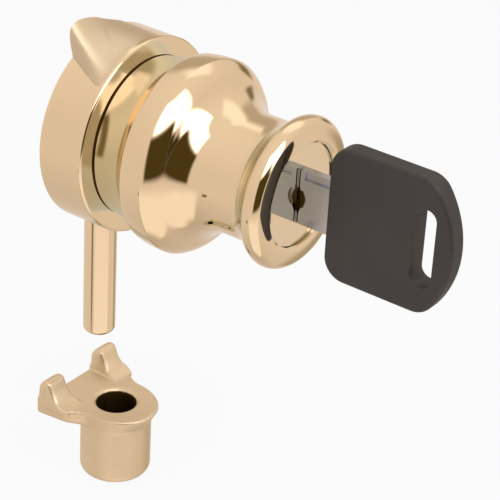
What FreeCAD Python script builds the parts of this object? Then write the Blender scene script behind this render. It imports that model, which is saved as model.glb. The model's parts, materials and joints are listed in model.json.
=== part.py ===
import FreeCAD, Part
import Sketcher
import math
import os

# A key-operated drop bolt lock for a frameless glass door, with its floor strike.
# Millimetres. The origin is the centre of the case's back rim, which lies on the glass.
# -Y points out of the door towards the user, +Z up, +X to the user's right.

doc = FreeCAD.newDocument("glass_door_lock")
sheet = doc.addObject("Spreadsheet::Sheet", "dims")

# Each driving size is written once here, in millimetres, degrees or counts.
SIZES = [
    # round case on the glass
    ("case_radius", 19.5), ("case_front_wall", 1.2), ("case_edge_round", 0.55),
    ("case_rim", 1.7), ("case_wall", 6.1),
    # finger horn on the upper left of the case: places across, heights over the drum, turns from the top
    ("horn_tip_x", -9.5), ("horn_rise", 4.4), ("horn_flank_x", -11.6), ("horn_tip_round", 2.5),
    ("horn_foot_x", -10.8), ("horn_ridge_x", -2.8), ("horn_ridge_rise", 2.3), ("horn_right_x", 5.6),
    ("horn_left_turn", 57.0), ("horn_tip_turn", 38.0), ("horn_nose_turn", 5.0), ("horn_ridge_turn", 24.0),
    ("horn_crest_turn", 8.0), ("horn_right_turn", 15.0), ("horn_foot_turn", 38.0), ("horn_mid_share", 0.52),
    ("horn_hollow", 0.62), ("horn_root_z", 9.0), ("horn_root_slant", 1.5), ("horn_sink", 0.06),
    # knob that carries the cylinder
    ("collar_radius", 15.9), ("collar_length", 8.8), ("collar_edge", 0.35), ("collar_hollow", 18.0),
    ("band_inset", 0.75), ("band_curve", 19.0), ("crease_ahead", 13.6),
    ("belly_centre_drop", 6.9), ("belly_curve", 7.3), ("belly_ahead", 10.3),
    ("waist_radius", 11.75), ("waist_curve", 9.0), ("waist_length", 3.58), ("flare_curve", 6.0),
    ("flare_length", 4.8), ("lip_length", 3.9), ("lip_curve", 2.7), ("rim_radius", 12.4),
    ("face_radius", 10.1), ("face_edge_drop", 0.35), ("knob_bore", 9.05),
    # cylinder barrel and rotating plug
    ("barrel_nose_length", 4.0), ("barrel_step", 0.8), ("plug_radius", 6.5), ("groove_depth", 0.85),
    ("plug_tail_radius", 3.4), ("plug_tail_flats", 5.0), ("plug_back_ahead", 5.0),
    ("cap_thickness", 1.4), ("cap_recess", 0.65), ("clip_thickness", 0.6), ("clip_radius", 4.8),
    ("clip_groove", 0.5), ("clip_mouth_bite", 0.4), ("pin_radius", 1.0), ("barrel_pin_length", 6.0),
    # wafer tumblers
    ("wafer_count", 5.0), ("wafer_setback", 2.9), ("wafer_step_length", 3.0), ("wafer_thickness", 0.9),
    ("wafer_width", 5.0), ("window_slack", 0.45), ("lug_reach", 1.35), ("lug_height", 1.0),
    ("lug_root", 0.3), ("spring_radius", 0.45), ("spring_height", 3.2),
    # key
    ("blade_thickness", 2.0), ("blade_height", 8.0), ("blade_tip_length", 4.3), ("blade_tip_bevel", 2.4),
    ("blade_tip_height", 1.8), ("shank_height", 10.8), ("shank_length", 7.2), ("tang_length", 8.0),
    ("tang_height", 8.6), ("cut_depth", 1.1), ("cut_flat", 0.7), ("cut_slope", 0.9),
    ("blade_groove", 0.55), ("blade_groove_height", 3.4), ("groove_left_drop", 0.2),
    ("groove_right_rise", 0.6), ("groove_runout", 1.3), ("groove_end_curve", 2.3),
    ("ledge_height", 1.6), ("ledge_depth", 0.45), ("ledge_setback", 1.4),
    ("bow_thickness", 4.3), ("bow_length", 26.4), ("bow_height", 26.8), ("bow_corner", 4.4),
    ("bow_end_radius", 20.0), ("bow_end_corner", 4.6), ("bow_edge", 0.9),
    ("slot_width", 4.5), ("slot_height", 15.4), ("slot_from_end", 5.9), ("slot_corner", 2.05),
    # cam and bolt
    ("cam_thickness", 1.4), ("cam_hub_radius", 5.0), ("cam_tip_radius", 2.0), ("cam_throw", 8.0),
    ("cam_start", 45.0), ("drive_pin_radius", 1.2), ("washer_radius", 4.1), ("washer_thickness", 0.6),
    ("screw_head_radius", 3.1), ("screw_head_height", 1.9), ("screw_radius", 1.5),
    ("cam_screw_length", 6.0), ("cam_screw_slot", 0.7), ("cam_screw_slot_depth", 0.8),
    ("bolt_radius", 3.2), ("bolt_back_gap", 0.4), ("bolt_front_gap", 0.2), ("bolt_reach", 21.9),
    ("bolt_tip_round", 1.1), ("bolt_tail_thickness", 3.0), ("bolt_tail_drop", 7.0),
    ("bolt_tail_rise", 3.0), ("bolt_bore_top", 10.6), ("notch_depth", 1.45), ("notch_slack", 0.38),
    # back plate, spigot into the glass hole, pad and screws
    ("plate_thickness", 1.2), ("pad_thickness", 0.6), ("pad_hole_gap", 1.2), ("spigot_radius", 8.0),
    ("spigot_length", 6.0), ("spigot_bevel", 0.5), ("spigot_bore", 4.6), ("spigot_floor", 1.6),
    ("plate_screw_inset", 4.1), ("plate_screw_start", 60.0), ("plate_screw_length", 5.2),
    ("knob_screw_inset", 1.95), ("knob_screw_length", 6.5),
    ("small_screw_radius", 1.25), ("small_head_radius", 2.15), ("small_head_depth", 0.9),
    ("small_screw_slot", 0.5), ("small_screw_slot_depth", 0.4), ("tap_runout", 0.4),
    # floor strike
    ("strike_ahead", 4.8), ("strike_drop", 14.9), ("strike_radius", 9.0), ("strike_thickness", 3.4),
    ("strike_edge", 0.45), ("strike_under_round", 1.5), ("strike_waist_turn", 10.0),
    ("strike_bore", 4.0), ("strike_rim", 0.55), ("strike_bore_depth", 12.0),
    ("strike_plug_radius", 7.15), ("strike_plug_length", 12.4), ("strike_plug_round", 1.4),
    ("prong_pitch", 15.8), ("prong_width", 5.3), ("prong_depth", 3.2), ("prong_behind", 11.8),
    ("prong_height", 5.2), ("prong_hollow", 5.5), ("prong_peak", 1.5), ("prong_lip", 0.6),
    ("prong_foot", 4.4), ("prong_root", 1.0),
    # clearances, and how far a cutter runs past a face
    ("running_gap", 0.06), ("seat_gap", 0.05), ("free_gap", 0.2), ("key_gap", 0.1), ("bolt_gap", 0.1),
    ("face_gap", 0.12), ("overrun", 1.0),
]
for row, (alias, number) in enumerate(SIZES, start=1):
    sheet.set("A%d" % row, alias)
    sheet.set("B%d" % row, str(number))
    sheet.setAlias("B%d" % row, alias)
doc.recompute()


def value(expression):
    """Read the present value of an expression in the sheet's words."""
    return float(sheet.evalExpression(expression))


# Two places closer than this count as the same.
TOUCH = 1e-4

# The case is as deep as its wall, the bolt, the back plate and the pad need.
DEPTH = ("(dims.pad_thickness + dims.plate_thickness + dims.bolt_back_gap + 2 * dims.bolt_radius"
         " + dims.bolt_front_gap + dims.case_front_wall)")
LEDGE_RADIUS = "(dims.case_radius - dims.case_rim)"
CAVITY_RADIUS = "(dims.case_radius - dims.case_wall)"
PLATE_SCREW_PITCH = "(dims.case_radius - dims.plate_screw_inset)"
KNOB_SCREW_PITCH = "(dims.knob_bore + dims.knob_screw_inset)"
HORN_SKIN = "(dims.case_radius - dims.horn_sink)"
HORN_TIP_Z = "(dims.case_radius + dims.horn_rise)"
HORN_RIDGE_Z = "(dims.case_radius + dims.horn_ridge_rise)"

# The knob's band and belly follow the case's width, and their curves set how long the knob is.
BELLY_IN = "(dims.case_radius - dims.belly_centre_drop)"
WAIST_OUT = "(dims.waist_radius + dims.waist_curve)"
BOTH_CURVES = "(dims.belly_curve + dims.waist_curve)"
WAIST_REACH = "sqrt(pow(%s; 2) - pow(%s - %s; 2))" % (BOTH_CURVES, WAIST_OUT, BELLY_IN)
WAIST_END = "(dims.belly_ahead + %s + dims.waist_length)" % WAIST_REACH
KNOB_LENGTH = "(%s + dims.flare_length + dims.lip_length)" % WAIST_END

# Places along the lock axis that several pieces share.
FRONT = "(-%s)" % DEPTH
WALL_BACK = "(dims.case_front_wall - %s)" % DEPTH
KNOB_END = "(-%s - %s)" % (DEPTH, KNOB_LENGTH)
CAP_FRONT = "(%s + dims.cap_recess + dims.face_edge_drop)" % KNOB_END
CAP_BACK = "(%s + dims.cap_thickness)" % CAP_FRONT
BARREL_FRONT = "(%s + dims.seat_gap)" % CAP_BACK
PLUG_BACK = "(%s - dims.plug_back_ahead)" % FRONT
PLATE_FRONT = "(-dims.plate_thickness - dims.pad_thickness)"
CAM_BACK = "(%s - dims.free_gap)" % PLATE_FRONT
CAM_FRONT = "(%s - dims.cam_thickness)" % CAM_BACK
CLIP_FRONT = "(%s + dims.seat_gap)" % WALL_BACK
WAFER_FRONT = "(%s + dims.wafer_setback)" % CAP_BACK
WAFER_BACK = ("(%s + (dims.wafer_count - 1) * dims.wafer_step_length + dims.wafer_thickness)"
              % WAFER_FRONT)
BLADE_TIP = "(%s + dims.blade_tip_length)" % WAFER_BACK

# Places of the cam's pin, the bolt and the strike.
PIN_X = "(-dims.cam_throw * cos(dims.cam_start * 1deg))"
PIN_Z = "(-dims.cam_throw * sin(dims.cam_start * 1deg))"
BOLT_X = "(-dims.cam_throw)"
BOLT_Y = "(%s - dims.bolt_back_gap - dims.bolt_radius)" % PLATE_FRONT
BOLT_TIP_Z = "(-dims.case_radius - dims.bolt_reach)"
STRIKE_Y = "(%s - dims.strike_ahead)" % BOLT_Y
STRIKE_TOP_Z = "(%s - dims.strike_drop)" % BOLT_TIP_Z


def bind(item, **expressions):
    """Tie properties of an item to expressions; a double underscore stands for a dot."""
    for name, expression in expressions.items():
        item.setExpression(name.replace("__", "."), expression)
    return item


def place(item, x="0", y="0", z="0"):
    """Tie an item's position to three expressions."""
    return bind(item, Placement__Base__x=x, Placement__Base__y=y, Placement__Base__z=z)


# Turns from the Z axis, in which primitives are made, onto the other axes.
TURN = {
    "Z": FreeCAD.Rotation(),
    "Y": FreeCAD.Rotation(FreeCAD.Vector(1, 0, 0), -90),
    "-Y": FreeCAD.Rotation(FreeCAD.Vector(1, 0, 0), 90),
    "X": FreeCAD.Rotation(FreeCAD.Vector(0, 1, 0), 90),
}


def rod(name, radius, length, x="0", y="0", z="0", along="Y"):
    """Make a round bar whose base circle is centred on a point."""
    item = doc.addObject("Part::Cylinder", name)
    item.Placement = FreeCAD.Placement(FreeCAD.Vector(), TURN[along])
    bind(item, Radius=radius, Height=length)
    return place(item, x, y, z)


def taper(name, radius1, radius2, length, x="0", y="0", z="0", along="Y"):
    """Make a cone frustum whose first circle is centred on a point."""
    item = doc.addObject("Part::Cone", name)
    item.Placement = FreeCAD.Placement(FreeCAD.Vector(), TURN[along])
    bind(item, Radius1=radius1, Radius2=radius2, Height=length)
    return place(item, x, y, z)


def block(name, low, high):
    """Make a box between two corners given as expressions."""
    item = doc.addObject("Part::Box", name)
    sides = ["(%s) - (%s)" % (high[axis], low[axis]) for axis in range(3)]
    bind(item, Length=sides[0], Width=sides[1], Height=sides[2])
    return place(item, *low)


def join(name, items):
    """Fuse several items into one."""
    item = doc.addObject("Part::MultiFuse", name)
    item.Shapes = items
    item.Refine = True
    return item


def remove(name, base, tools):
    """Take one or more tools away from a base."""
    item = doc.addObject("Part::Cut", name)
    item.Base = base
    item.Tool = tools[0] if len(tools) == 1 else join(name + "_tools", tools)
    item.Refine = True
    return item


def plane_of(body, role):
    """Find one of a body's own origin planes or axes."""
    return [item for item in body.Origin.OriginFeatures if item.Role == role][0]


def new_body(name):
    """Start a body made of sketches and features."""
    return doc.addObject("PartDesign::Body", name)


def new_sketch(body, name, plane, offset="0"):
    """Start a sketch on one of the body's planes, moved along its normal by an expression."""
    sketch = body.newObject("Sketcher::SketchObject", name)
    sketch.AttachmentSupport = (plane_of(body, plane), [""])
    sketch.MapMode = "FlatFace"
    sketch.setExpression("AttachmentOffset.Base.z", offset)
    return sketch


def pin(sketch, shape_index, end, point):
    """Tie one end of a sketch line or arc to a point given as two expressions."""
    for kind, expression in zip(("DistanceX", "DistanceY"), point):
        index = sketch.addConstraint(Sketcher.Constraint(kind, shape_index, end, value(expression)))
        sketch.setExpression("Constraints[%d]" % index, expression)


def arc_between(start, end, radius, side):
    """Make the arc of under half a circle from start to end, its centre left (1) or right (-1)."""
    chord = end - start
    middle = (start + end) * 0.5
    left = FreeCAD.Vector(-chord.y, chord.x, 0).normalize()
    reach = math.sqrt(max(radius ** 2 - (chord.Length / 2) ** 2, 0.0))
    centre = middle + left * reach * side
    first, last = (start, end) if side > 0 else (end, start)
    angles = [math.atan2(spot.y - centre.y, spot.x - centre.x) for spot in (first, last)]
    if angles[1] < angles[0]:
        angles[1] += 2 * math.pi
    circle = Part.Circle(centre, FreeCAD.Vector(0, 0, 1), radius)
    return Part.ArcOfCircle(circle, angles[0], angles[1])


def outline(sketch, points, arcs=None):
    """Draw a closed outline through points, with some of its stretches as arcs.

    Each point is a pair of expressions. arcs maps the number of a stretch to the
    expression of its radius and the side of travel on which its centre lies.
    """
    arcs = arcs or {}
    spots = [FreeCAD.Vector(value(across), value(up), 0) for across, up in points]
    stretches = []
    for number, start in enumerate(spots):
        end = spots[(number + 1) % len(spots)]
        if number not in arcs:
            index = sketch.addGeometry(Part.LineSegment(start, end), False)
            stretches.append((index, 1, 2))
            continue
        radius, side = arcs[number]
        index = sketch.addGeometry(arc_between(start, end, value(radius), side), False)
        stretches.append((index, 1, 2) if side > 0 else (index, 2, 1))
        tie = sketch.addConstraint(Sketcher.Constraint("Radius", index, value(radius)))
        sketch.setExpression("Constraints[%d]" % tie, radius)
    for number, (index, first, last) in enumerate(stretches):
        following = stretches[(number + 1) % len(stretches)]
        sketch.addConstraint(Sketcher.Constraint("Coincident", index, last, following[0], following[1]))
        pin(sketch, index, first, points[number])
    return sketch


def ring(sketch, radius, across="0", up="0"):
    """Draw a circle whose centre and radius are expressions."""
    centre = FreeCAD.Vector(value(across), value(up), 0)
    index = sketch.addGeometry(Part.Circle(centre, FreeCAD.Vector(0, 0, 1), value(radius)), False)
    pin(sketch, index, 3, (across, up))
    tie = sketch.addConstraint(Sketcher.Constraint("Radius", index, value(radius)))
    sketch.setExpression("Constraints[%d]" % tie, radius)
    return sketch


def rounded_slot(sketch, across, up, width, height, corner):
    """Draw an upright slot with rounded corners about a centre."""
    sides = {"l": "%s - %s / 2" % (across, width), "r": "%s + %s / 2" % (across, width),
             "d": "%s - %s / 2" % (up, height), "u": "%s + %s / 2" % (up, height)}
    points = [
        ("%s + %s" % (sides["l"], corner), sides["d"]), ("%s - %s" % (sides["r"], corner), sides["d"]),
        (sides["r"], "%s + %s" % (sides["d"], corner)), (sides["r"], "%s - %s" % (sides["u"], corner)),
        ("%s - %s" % (sides["r"], corner), sides["u"]), ("%s + %s" % (sides["l"], corner), sides["u"]),
        (sides["l"], "%s - %s" % (sides["u"], corner)), (sides["l"], "%s + %s" % (sides["d"], corner)),
    ]
    return outline(sketch, points, {number: (corner, 1) for number in (1, 3, 5, 7)})


def grow(body, kind, name, sketch, length, backwards=False):
    """Add or cut a straight extrusion of a sketch."""
    feature = body.newObject("PartDesign::" + kind, name)
    feature.Profile = sketch
    feature.setExpression("Length", length)
    feature.Reversed = backwards
    sketch.Visibility = False
    doc.recompute()
    return feature


def spin(body, name, sketch):
    """Turn a sketch once round its own upright axis."""
    feature = body.newObject("PartDesign::Revolution", name)
    feature.Profile = sketch
    feature.ReferenceAxis = (sketch, ["V_Axis"])
    feature.Angle = 360
    sketch.Visibility = False
    doc.recompute()
    return feature


def edges_where(feature, test):
    """Name the edges of a feature whose middle point and length pass a test."""
    names = []
    for number, edge in enumerate(feature.Shape.Edges, start=1):
        middle = edge.valueAt((edge.FirstParameter + edge.LastParameter) / 2)
        if test(edge, middle):
            names.append("Edge%d" % number)
    return names


def ease(body, kind, name, feature, size, test):
    """Round or bevel the edges of a feature that pass a test."""
    chosen = edges_where(feature, test)
    if not chosen:
        raise RuntimeError("no edge for " + name)
    item = body.newObject("PartDesign::" + kind, name)
    item.Base = (feature, chosen)
    item.setExpression("Radius" if kind == "Fillet" else "Size", size)
    doc.recompute()
    return item


def round_about(body, name, feature, count):
    """Repeat a feature evenly round the lock axis."""
    pattern = body.newObject("PartDesign::PolarPattern", name)
    pattern.Originals = [feature]
    pattern.Axis = (plane_of(body, "Y_Axis"), [""])
    pattern.Angle = 360
    pattern.Occurrences = count
    body.Tip = pattern
    doc.recompute()
    return pattern


NODES = {}


def node(name, item):
    """Register an item as a sub-part under its own label."""
    item.Label = name
    NODES[name] = item
    return item


def on_ring(pitch, degrees):
    """Give the X and Z expressions of a place on a bolt circle."""
    return "%s * cos(%s * 1deg)" % (pitch, degrees), "%s * sin(%s * 1deg)" % (pitch, degrees)


def make_lock_case():
    """Make the round case with its finger horn, cavity and bolt bore."""
    body = new_body("LockCase")
    drum = new_sketch(body, "DrumCircle", "XZ_Plane")
    ring(drum, "dims.case_radius")
    solid = grow(body, "Pad", "Drum", drum, DEPTH)
    depth = value(DEPTH)
    ease(body, "Fillet", "DrumEdge", solid, "dims.case_edge_round",
         lambda edge, middle: abs(middle.y + depth) < TOUCH)
    sections = [horn_back(body), horn_middle(body), horn_front(body)]
    horn = body.newObject("PartDesign::AdditiveLoft", "Horn")
    horn.Profile = sections[0]
    horn.Sections = sections[1:]
    horn.Ruled = False
    for section in sections:
        section.Visibility = False
    doc.recompute()
    recess = new_sketch(body, "PlateRecess", "XZ_Plane")
    ring(recess, LEDGE_RADIUS)
    grow(body, "Pocket", "PlateSeat", recess, "dims.plate_thickness + dims.pad_thickness", True)
    hollow = new_sketch(body, "CavityCircle", "XZ_Plane")
    ring(hollow, CAVITY_RADIUS)
    grow(body, "Pocket", "Cavity", hollow, "%s - dims.case_front_wall" % DEPTH, True)
    tail = new_sketch(body, "TailHole", "XZ_Plane")
    ring(tail, "dims.plug_tail_radius + dims.free_gap")
    grow(body, "Pocket", "TailBore", tail, "%s + dims.overrun" % DEPTH, True)
    bore = new_sketch(body, "BoltHole", "XY_Plane", "-dims.case_radius - dims.overrun")
    ring(bore, "dims.bolt_radius + dims.bolt_gap", BOLT_X, BOLT_Y)
    grow(body, "Pocket", "BoltBore", bore, "dims.case_radius + dims.overrun + dims.bolt_bore_top", True)
    tapped = new_sketch(body, "PlateTap", "XZ_Plane")
    ring(tapped, "dims.small_screw_radius", *on_ring(PLATE_SCREW_PITCH, "dims.plate_screw_start"))
    taps = grow(body, "Pocket", "PlateTaps", tapped,
                "dims.plate_screw_length + dims.pad_thickness + dims.tap_runout", True)
    round_about(body, "PlateTapRing", taps, 3)
    through = new_sketch(body, "KnobScrewHole", "XZ_Plane")
    ring(through, "dims.small_screw_radius", *on_ring(KNOB_SCREW_PITCH, "0"))
    holes = grow(body, "Pocket", "KnobScrewHoles", through, "%s + dims.overrun" % DEPTH, True)
    round_about(body, "KnobScrewRing", holes, 3)
    access = new_sketch(body, "KnobHeadHole", "XZ_Plane")
    ring(access, "dims.small_head_radius + dims.free_gap", *on_ring(KNOB_SCREW_PITCH, "0"))
    ways = grow(body, "Pocket", "KnobHeadWays", access, "%s - dims.case_front_wall" % DEPTH, True)
    pattern = round_about(body, "KnobHeadRing", ways, 3)
    wall = value(WALL_BACK)
    hole = value("dims.small_screw_radius")
    body.Tip = ease(body, "Chamfer", "KnobScrewSinks", pattern, "dims.small_head_depth",
                    lambda edge, middle: abs(middle.y - wall) < TOUCH
                    and abs(getattr(edge.Curve, "Radius", 0) - hole) < TOUCH)
    return node("lock_case", body)


def horn_back(body):
    """Draw the horn where it meets the glass."""
    sketch = new_sketch(body, "HornBack", "XZ_Plane")
    points = [
        ("dims.horn_foot_x", "sqrt(pow(%s; 2) - pow(dims.horn_foot_x; 2))" % HORN_SKIN),
        ("dims.horn_flank_x", "%s - dims.horn_tip_round" % HORN_TIP_Z),
        ("dims.horn_tip_x", HORN_TIP_Z),
        ("dims.horn_ridge_x", HORN_RIDGE_Z),
        ("dims.horn_right_x", "sqrt(pow(%s; 2) - pow(dims.horn_right_x; 2))" % HORN_SKIN),
        ("dims.horn_right_x", "dims.horn_root_z"),
        ("dims.horn_foot_x + dims.horn_root_slant", "dims.horn_root_z"),
    ]
    return outline(sketch, points, {1: ("dims.horn_tip_round", -1)})


def horn_front(body):
    """Draw the horn where it dies into the front ring."""
    sketch = new_sketch(body, "HornFront", "XZ_Plane", "%s - dims.case_edge_round - dims.seat_gap" % DEPTH)
    points = [
        on_ring(HORN_SKIN, "(90 + dims.horn_left_turn)"),
        on_ring(HORN_SKIN, "(90 + dims.horn_tip_turn + dims.horn_nose_turn)"),
        on_ring(HORN_SKIN, "(90 + dims.horn_tip_turn - dims.horn_nose_turn)"),
        on_ring(HORN_SKIN, "(90 + dims.horn_ridge_turn)"),
        on_ring(HORN_SKIN, "(90 - dims.horn_right_turn)"),
        ("dims.horn_right_x", "dims.horn_root_z"),
        ("dims.horn_foot_x - dims.horn_root_slant", "dims.horn_root_z"),
    ]
    return outline(sketch, points, {number: (HORN_SKIN, -1) for number in range(4)})


def horn_middle(body):
    """Draw the horn half way, drawn in towards the drum so that its flanks are hollow."""
    sketch = new_sketch(body, "HornMiddle", "XZ_Plane", "%s * dims.horn_mid_share" % DEPTH)
    share = "dims.horn_hollow * (1 - dims.horn_mid_share)"

    def between(back, front_turn):
        """Find the place that lies the hollow's share of the way from the front to the back."""
        ahead = on_ring(HORN_SKIN, front_turn)
        mixed = "%s * (1 - %s) + (%s) * %s"
        return tuple(mixed % (ahead[axis], share, back[axis], share) for axis in range(2))

    points = [
        on_ring(HORN_SKIN, "(90 + (dims.horn_left_turn + dims.horn_foot_turn) / 2)"),
        between(("dims.horn_flank_x", "%s - dims.horn_tip_round" % HORN_TIP_Z),
                "(90 + dims.horn_tip_turn + dims.horn_nose_turn)"),
        between(("dims.horn_tip_x", HORN_TIP_Z), "(90 + dims.horn_tip_turn - dims.horn_nose_turn)"),
        between(("dims.horn_ridge_x", HORN_RIDGE_Z), "(90 + dims.horn_crest_turn)"),
        on_ring(HORN_SKIN, "(90 - dims.horn_right_turn)"),
        ("dims.horn_right_x", "dims.horn_root_z"),
        ("dims.horn_foot_x", "dims.horn_root_z"),
    ]
    return outline(sketch, points, {1: ("dims.horn_tip_round", -1)})


def make_knob_shell():
    """Make the turned knob: hollow collar, band, belly, waist and beaded lip, bored for the barrel."""
    body = new_body("KnobShell")
    belly_y = "(%s - dims.belly_ahead)" % FRONT
    crease_r = ("(%s + sqrt(pow(dims.belly_curve; 2) - pow(dims.crease_ahead - dims.belly_ahead; 2)))"
                % BELLY_IN)
    share = "dims.belly_curve / %s" % BOTH_CURVES
    flare_y = "%s - %s" % (FRONT, WAIST_END)
    lip_r = ("(dims.waist_radius + dims.flare_curve"
             " - sqrt(pow(dims.flare_curve; 2) - pow(dims.flare_length; 2)))")
    nose_bore = "(dims.knob_bore - dims.barrel_step)"
    step_y = "(%s + dims.barrel_nose_length)" % BARREL_FRONT
    points = [
        ("dims.knob_bore", FRONT),
        ("dims.collar_radius - dims.collar_edge", FRONT),
        ("dims.collar_radius", "%s - dims.collar_edge" % FRONT),
        ("dims.case_radius - dims.band_inset", "%s - dims.collar_length" % FRONT),
        (crease_r, "%s - dims.crease_ahead" % FRONT),
        ("%s + (%s - %s) * %s" % (BELLY_IN, WAIST_OUT, BELLY_IN, share),
         "%s - %s * %s" % (belly_y, WAIST_REACH, share)),
        ("dims.waist_radius", "%s - %s" % (belly_y, WAIST_REACH)),
        ("dims.waist_radius", flare_y),
        (lip_r, "%s - dims.flare_length" % flare_y),
        ("dims.rim_radius", KNOB_END),
        ("dims.face_radius", "%s + dims.face_edge_drop" % KNOB_END),
        ("dims.face_radius", BARREL_FRONT),
        (nose_bore, BARREL_FRONT),
        (nose_bore, step_y),
        ("dims.knob_bore", step_y),
    ]
    arcs = {2: ("dims.collar_hollow", 1), 3: ("dims.band_curve", -1), 4: ("dims.belly_curve", -1),
            5: ("dims.waist_curve", 1), 7: ("dims.flare_curve", 1), 8: ("dims.lip_curve", -1)}
    profile = outline(new_sketch(body, "KnobProfile", "XY_Plane"), points, arcs)
    spin(body, "KnobTurning", profile)
    hole = new_sketch(body, "KnobTapHole", "XZ_Plane", DEPTH)
    ring(hole, "dims.small_screw_radius", *on_ring(KNOB_SCREW_PITCH, "0"))
    depth = "dims.knob_screw_length - dims.case_front_wall + dims.tap_runout"
    taps = grow(body, "Pocket", "KnobTaps", hole, depth, True)
    body.Tip = round_about(body, "KnobTapRing", taps, 3)
    slot = barrel_pin_rod("KnobPinSlot")
    return node("knob_shell", remove("KnobFinished", body, [slot]))


def barrel_pin_rod(name):
    """Make a bar where the barrel's dowel lies, half in the knob and half in the barrel."""
    return rod(name, "dims.pin_radius", "dims.barrel_pin_length", "0", FRONT, "dims.knob_bore", "-Y")


def make_barrel():
    """Make the fixed barrel with its stepped nose, plug bore and four locking grooves."""
    radius = "(dims.knob_bore - dims.seat_gap)"
    step_y = "(%s + dims.barrel_nose_length + dims.seat_gap)" % BARREL_FRONT
    bore = "dims.plug_radius + dims.running_gap"
    stock = join("BarrelStock", [
        rod("BarrelBody", radius, "%s - %s" % (FRONT, step_y), "0", step_y),
        rod("BarrelNose", "%s - dims.barrel_step" % radius, "%s - %s" % (FRONT, BARREL_FRONT),
            "0", BARREL_FRONT),
    ])
    floor = "(%s + dims.running_gap)" % PLUG_BACK
    entry = "(%s - dims.overrun)" % BARREL_FRONT
    reach = "(dims.plug_radius + dims.groove_depth)"
    half = "(dims.wafer_width / 2 + dims.free_gap)"
    groove_front = "(%s - dims.overrun)" % WAFER_FRONT
    groove_back = "(%s + dims.overrun)" % WAFER_BACK
    cuts = [
        rod("BarrelBore", bore, "%s - %s" % (floor, entry), "0", entry),
        rod("BarrelTailHole", "dims.plug_tail_radius + dims.free_gap",
            "%s + dims.overrun - %s" % (FRONT, PLUG_BACK), "0", PLUG_BACK),
        block("GrooveUpright", ("-" + half, groove_front, "-" + reach), (half, groove_back, reach)),
        block("GrooveAcross", ("-" + reach, groove_front, "-" + half), (reach, groove_back, half)),
        barrel_pin_rod("BarrelPinSlot"),
    ]
    return node("barrel", remove("BarrelFinished", stock, cuts))


def make_barrel_pin():
    """Make the dowel that stops the barrel turning in the knob."""
    return node("barrel_pin", barrel_pin_rod("BarrelPin"))


def wafer_y(number):
    """Give the front face of a wafer, counted from the key's entry."""
    return "(%s + %d * dims.wafer_step_length)" % (WAFER_FRONT, number)


def key_channel(name, front):
    """Make the cutter for the upright keyway, from in front of a face to the blade's end."""
    side = "(dims.blade_thickness / 2 + dims.key_gap)"
    rise = "(dims.blade_height / 2 + dims.key_gap)"
    end = "(%s + dims.seat_gap + dims.overrun)" % BLADE_TIP
    return block(name, ("-" + side, front, "-" + rise), (side, end, rise))


def make_plug_body():
    """Make the plug: keyway, wafer slots, spring pockets and a flatted tail."""
    tail_end = "(%s)" % CAM_BACK
    stock = join("PlugStock", [
        rod("PlugMain", "dims.plug_radius", "%s - %s" % (PLUG_BACK, CAP_BACK), "0", CAP_BACK),
        rod("PlugTail", "dims.plug_tail_radius", "%s - %s" % (tail_end, PLUG_BACK), "0", PLUG_BACK),
    ])
    half = "(dims.wafer_width / 2 + dims.running_gap)"
    lug = "(dims.wafer_width / 2 + dims.lug_reach + dims.free_gap)"
    tall = "(dims.plug_radius + dims.overrun)"
    room = "dims.spring_height"
    cuts = [key_channel("PlugKeyway", "(%s - dims.overrun)" % CAP_BACK)]
    for number in range(int(value("dims.wafer_count"))):
        low = "(%s - dims.running_gap)" % wafer_y(number)
        high = "(%s + dims.wafer_thickness + dims.running_gap)" % wafer_y(number)
        cuts.append(block("WaferSlot%d" % number, ("-" + half, low, "-" + tall), (half, high, tall)))
        cuts.append(block("SpringPocket%d" % number, ("0", low, "-" + room), (lug, high, room)))
    flat = "(dims.plug_tail_flats / 2)"
    start = "(%s - dims.seat_gap)" % CAM_FRONT
    stop = "(%s + dims.overrun)" % CAM_BACK
    wide = "(dims.plug_tail_radius + dims.overrun)"
    for side, low, high in (("Left", "-" + wide, "-" + flat), ("Right", flat, wide)):
        cuts.append(block("TailFlat" + side, (low, start, "-" + wide), (high, stop, wide)))
    width = "dims.clip_thickness + 2 * dims.seat_gap"
    groove_front = "%s - dims.seat_gap" % CLIP_FRONT
    groove = rod("ClipGrooveOuter", wide, width, "0", groove_front)
    core = rod("ClipGrooveCore", "dims.plug_tail_radius - dims.clip_groove", width, "0", groove_front)
    cuts.append(remove("ClipGroove", groove, [core]))
    cuts.append(rod("CamScrewHole", "dims.screw_radius", "dims.cam_screw_length + dims.tap_runout",
                    "0", CAM_BACK, "0", "-Y"))
    return node("plug_body", remove("PlugFinished", stock, cuts))


def make_plug_cap():
    """Make the polished face disc of the plug, slotted for the key."""
    disc = rod("CapDisc", "dims.face_radius - dims.face_gap", "dims.cap_thickness", "0", CAP_FRONT)
    keyway = key_channel("CapKeyway", "(%s - dims.overrun)" % CAP_FRONT)
    return node("plug_cap", remove("CapFinished", disc, [keyway]))


def make_plug_clip():
    """Make the open retaining clip that keeps the plug in."""
    disc = rod("ClipDisc", "dims.clip_radius", "dims.clip_thickness", "0", CLIP_FRONT)
    core = rod("ClipCore", "dims.plug_tail_radius - dims.clip_groove", "dims.clip_thickness", "0", CLIP_FRONT)
    mouth = "(dims.plug_tail_radius - dims.clip_groove - dims.clip_mouth_bite)"
    gap = block("ClipMouth", ("0", CLIP_FRONT, "-" + mouth),
                ("dims.clip_radius + dims.overrun", "%s + dims.clip_thickness" % CLIP_FRONT, mouth))
    return node("plug_clip", remove("ClipFinished", disc, [core, gap]))


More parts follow.
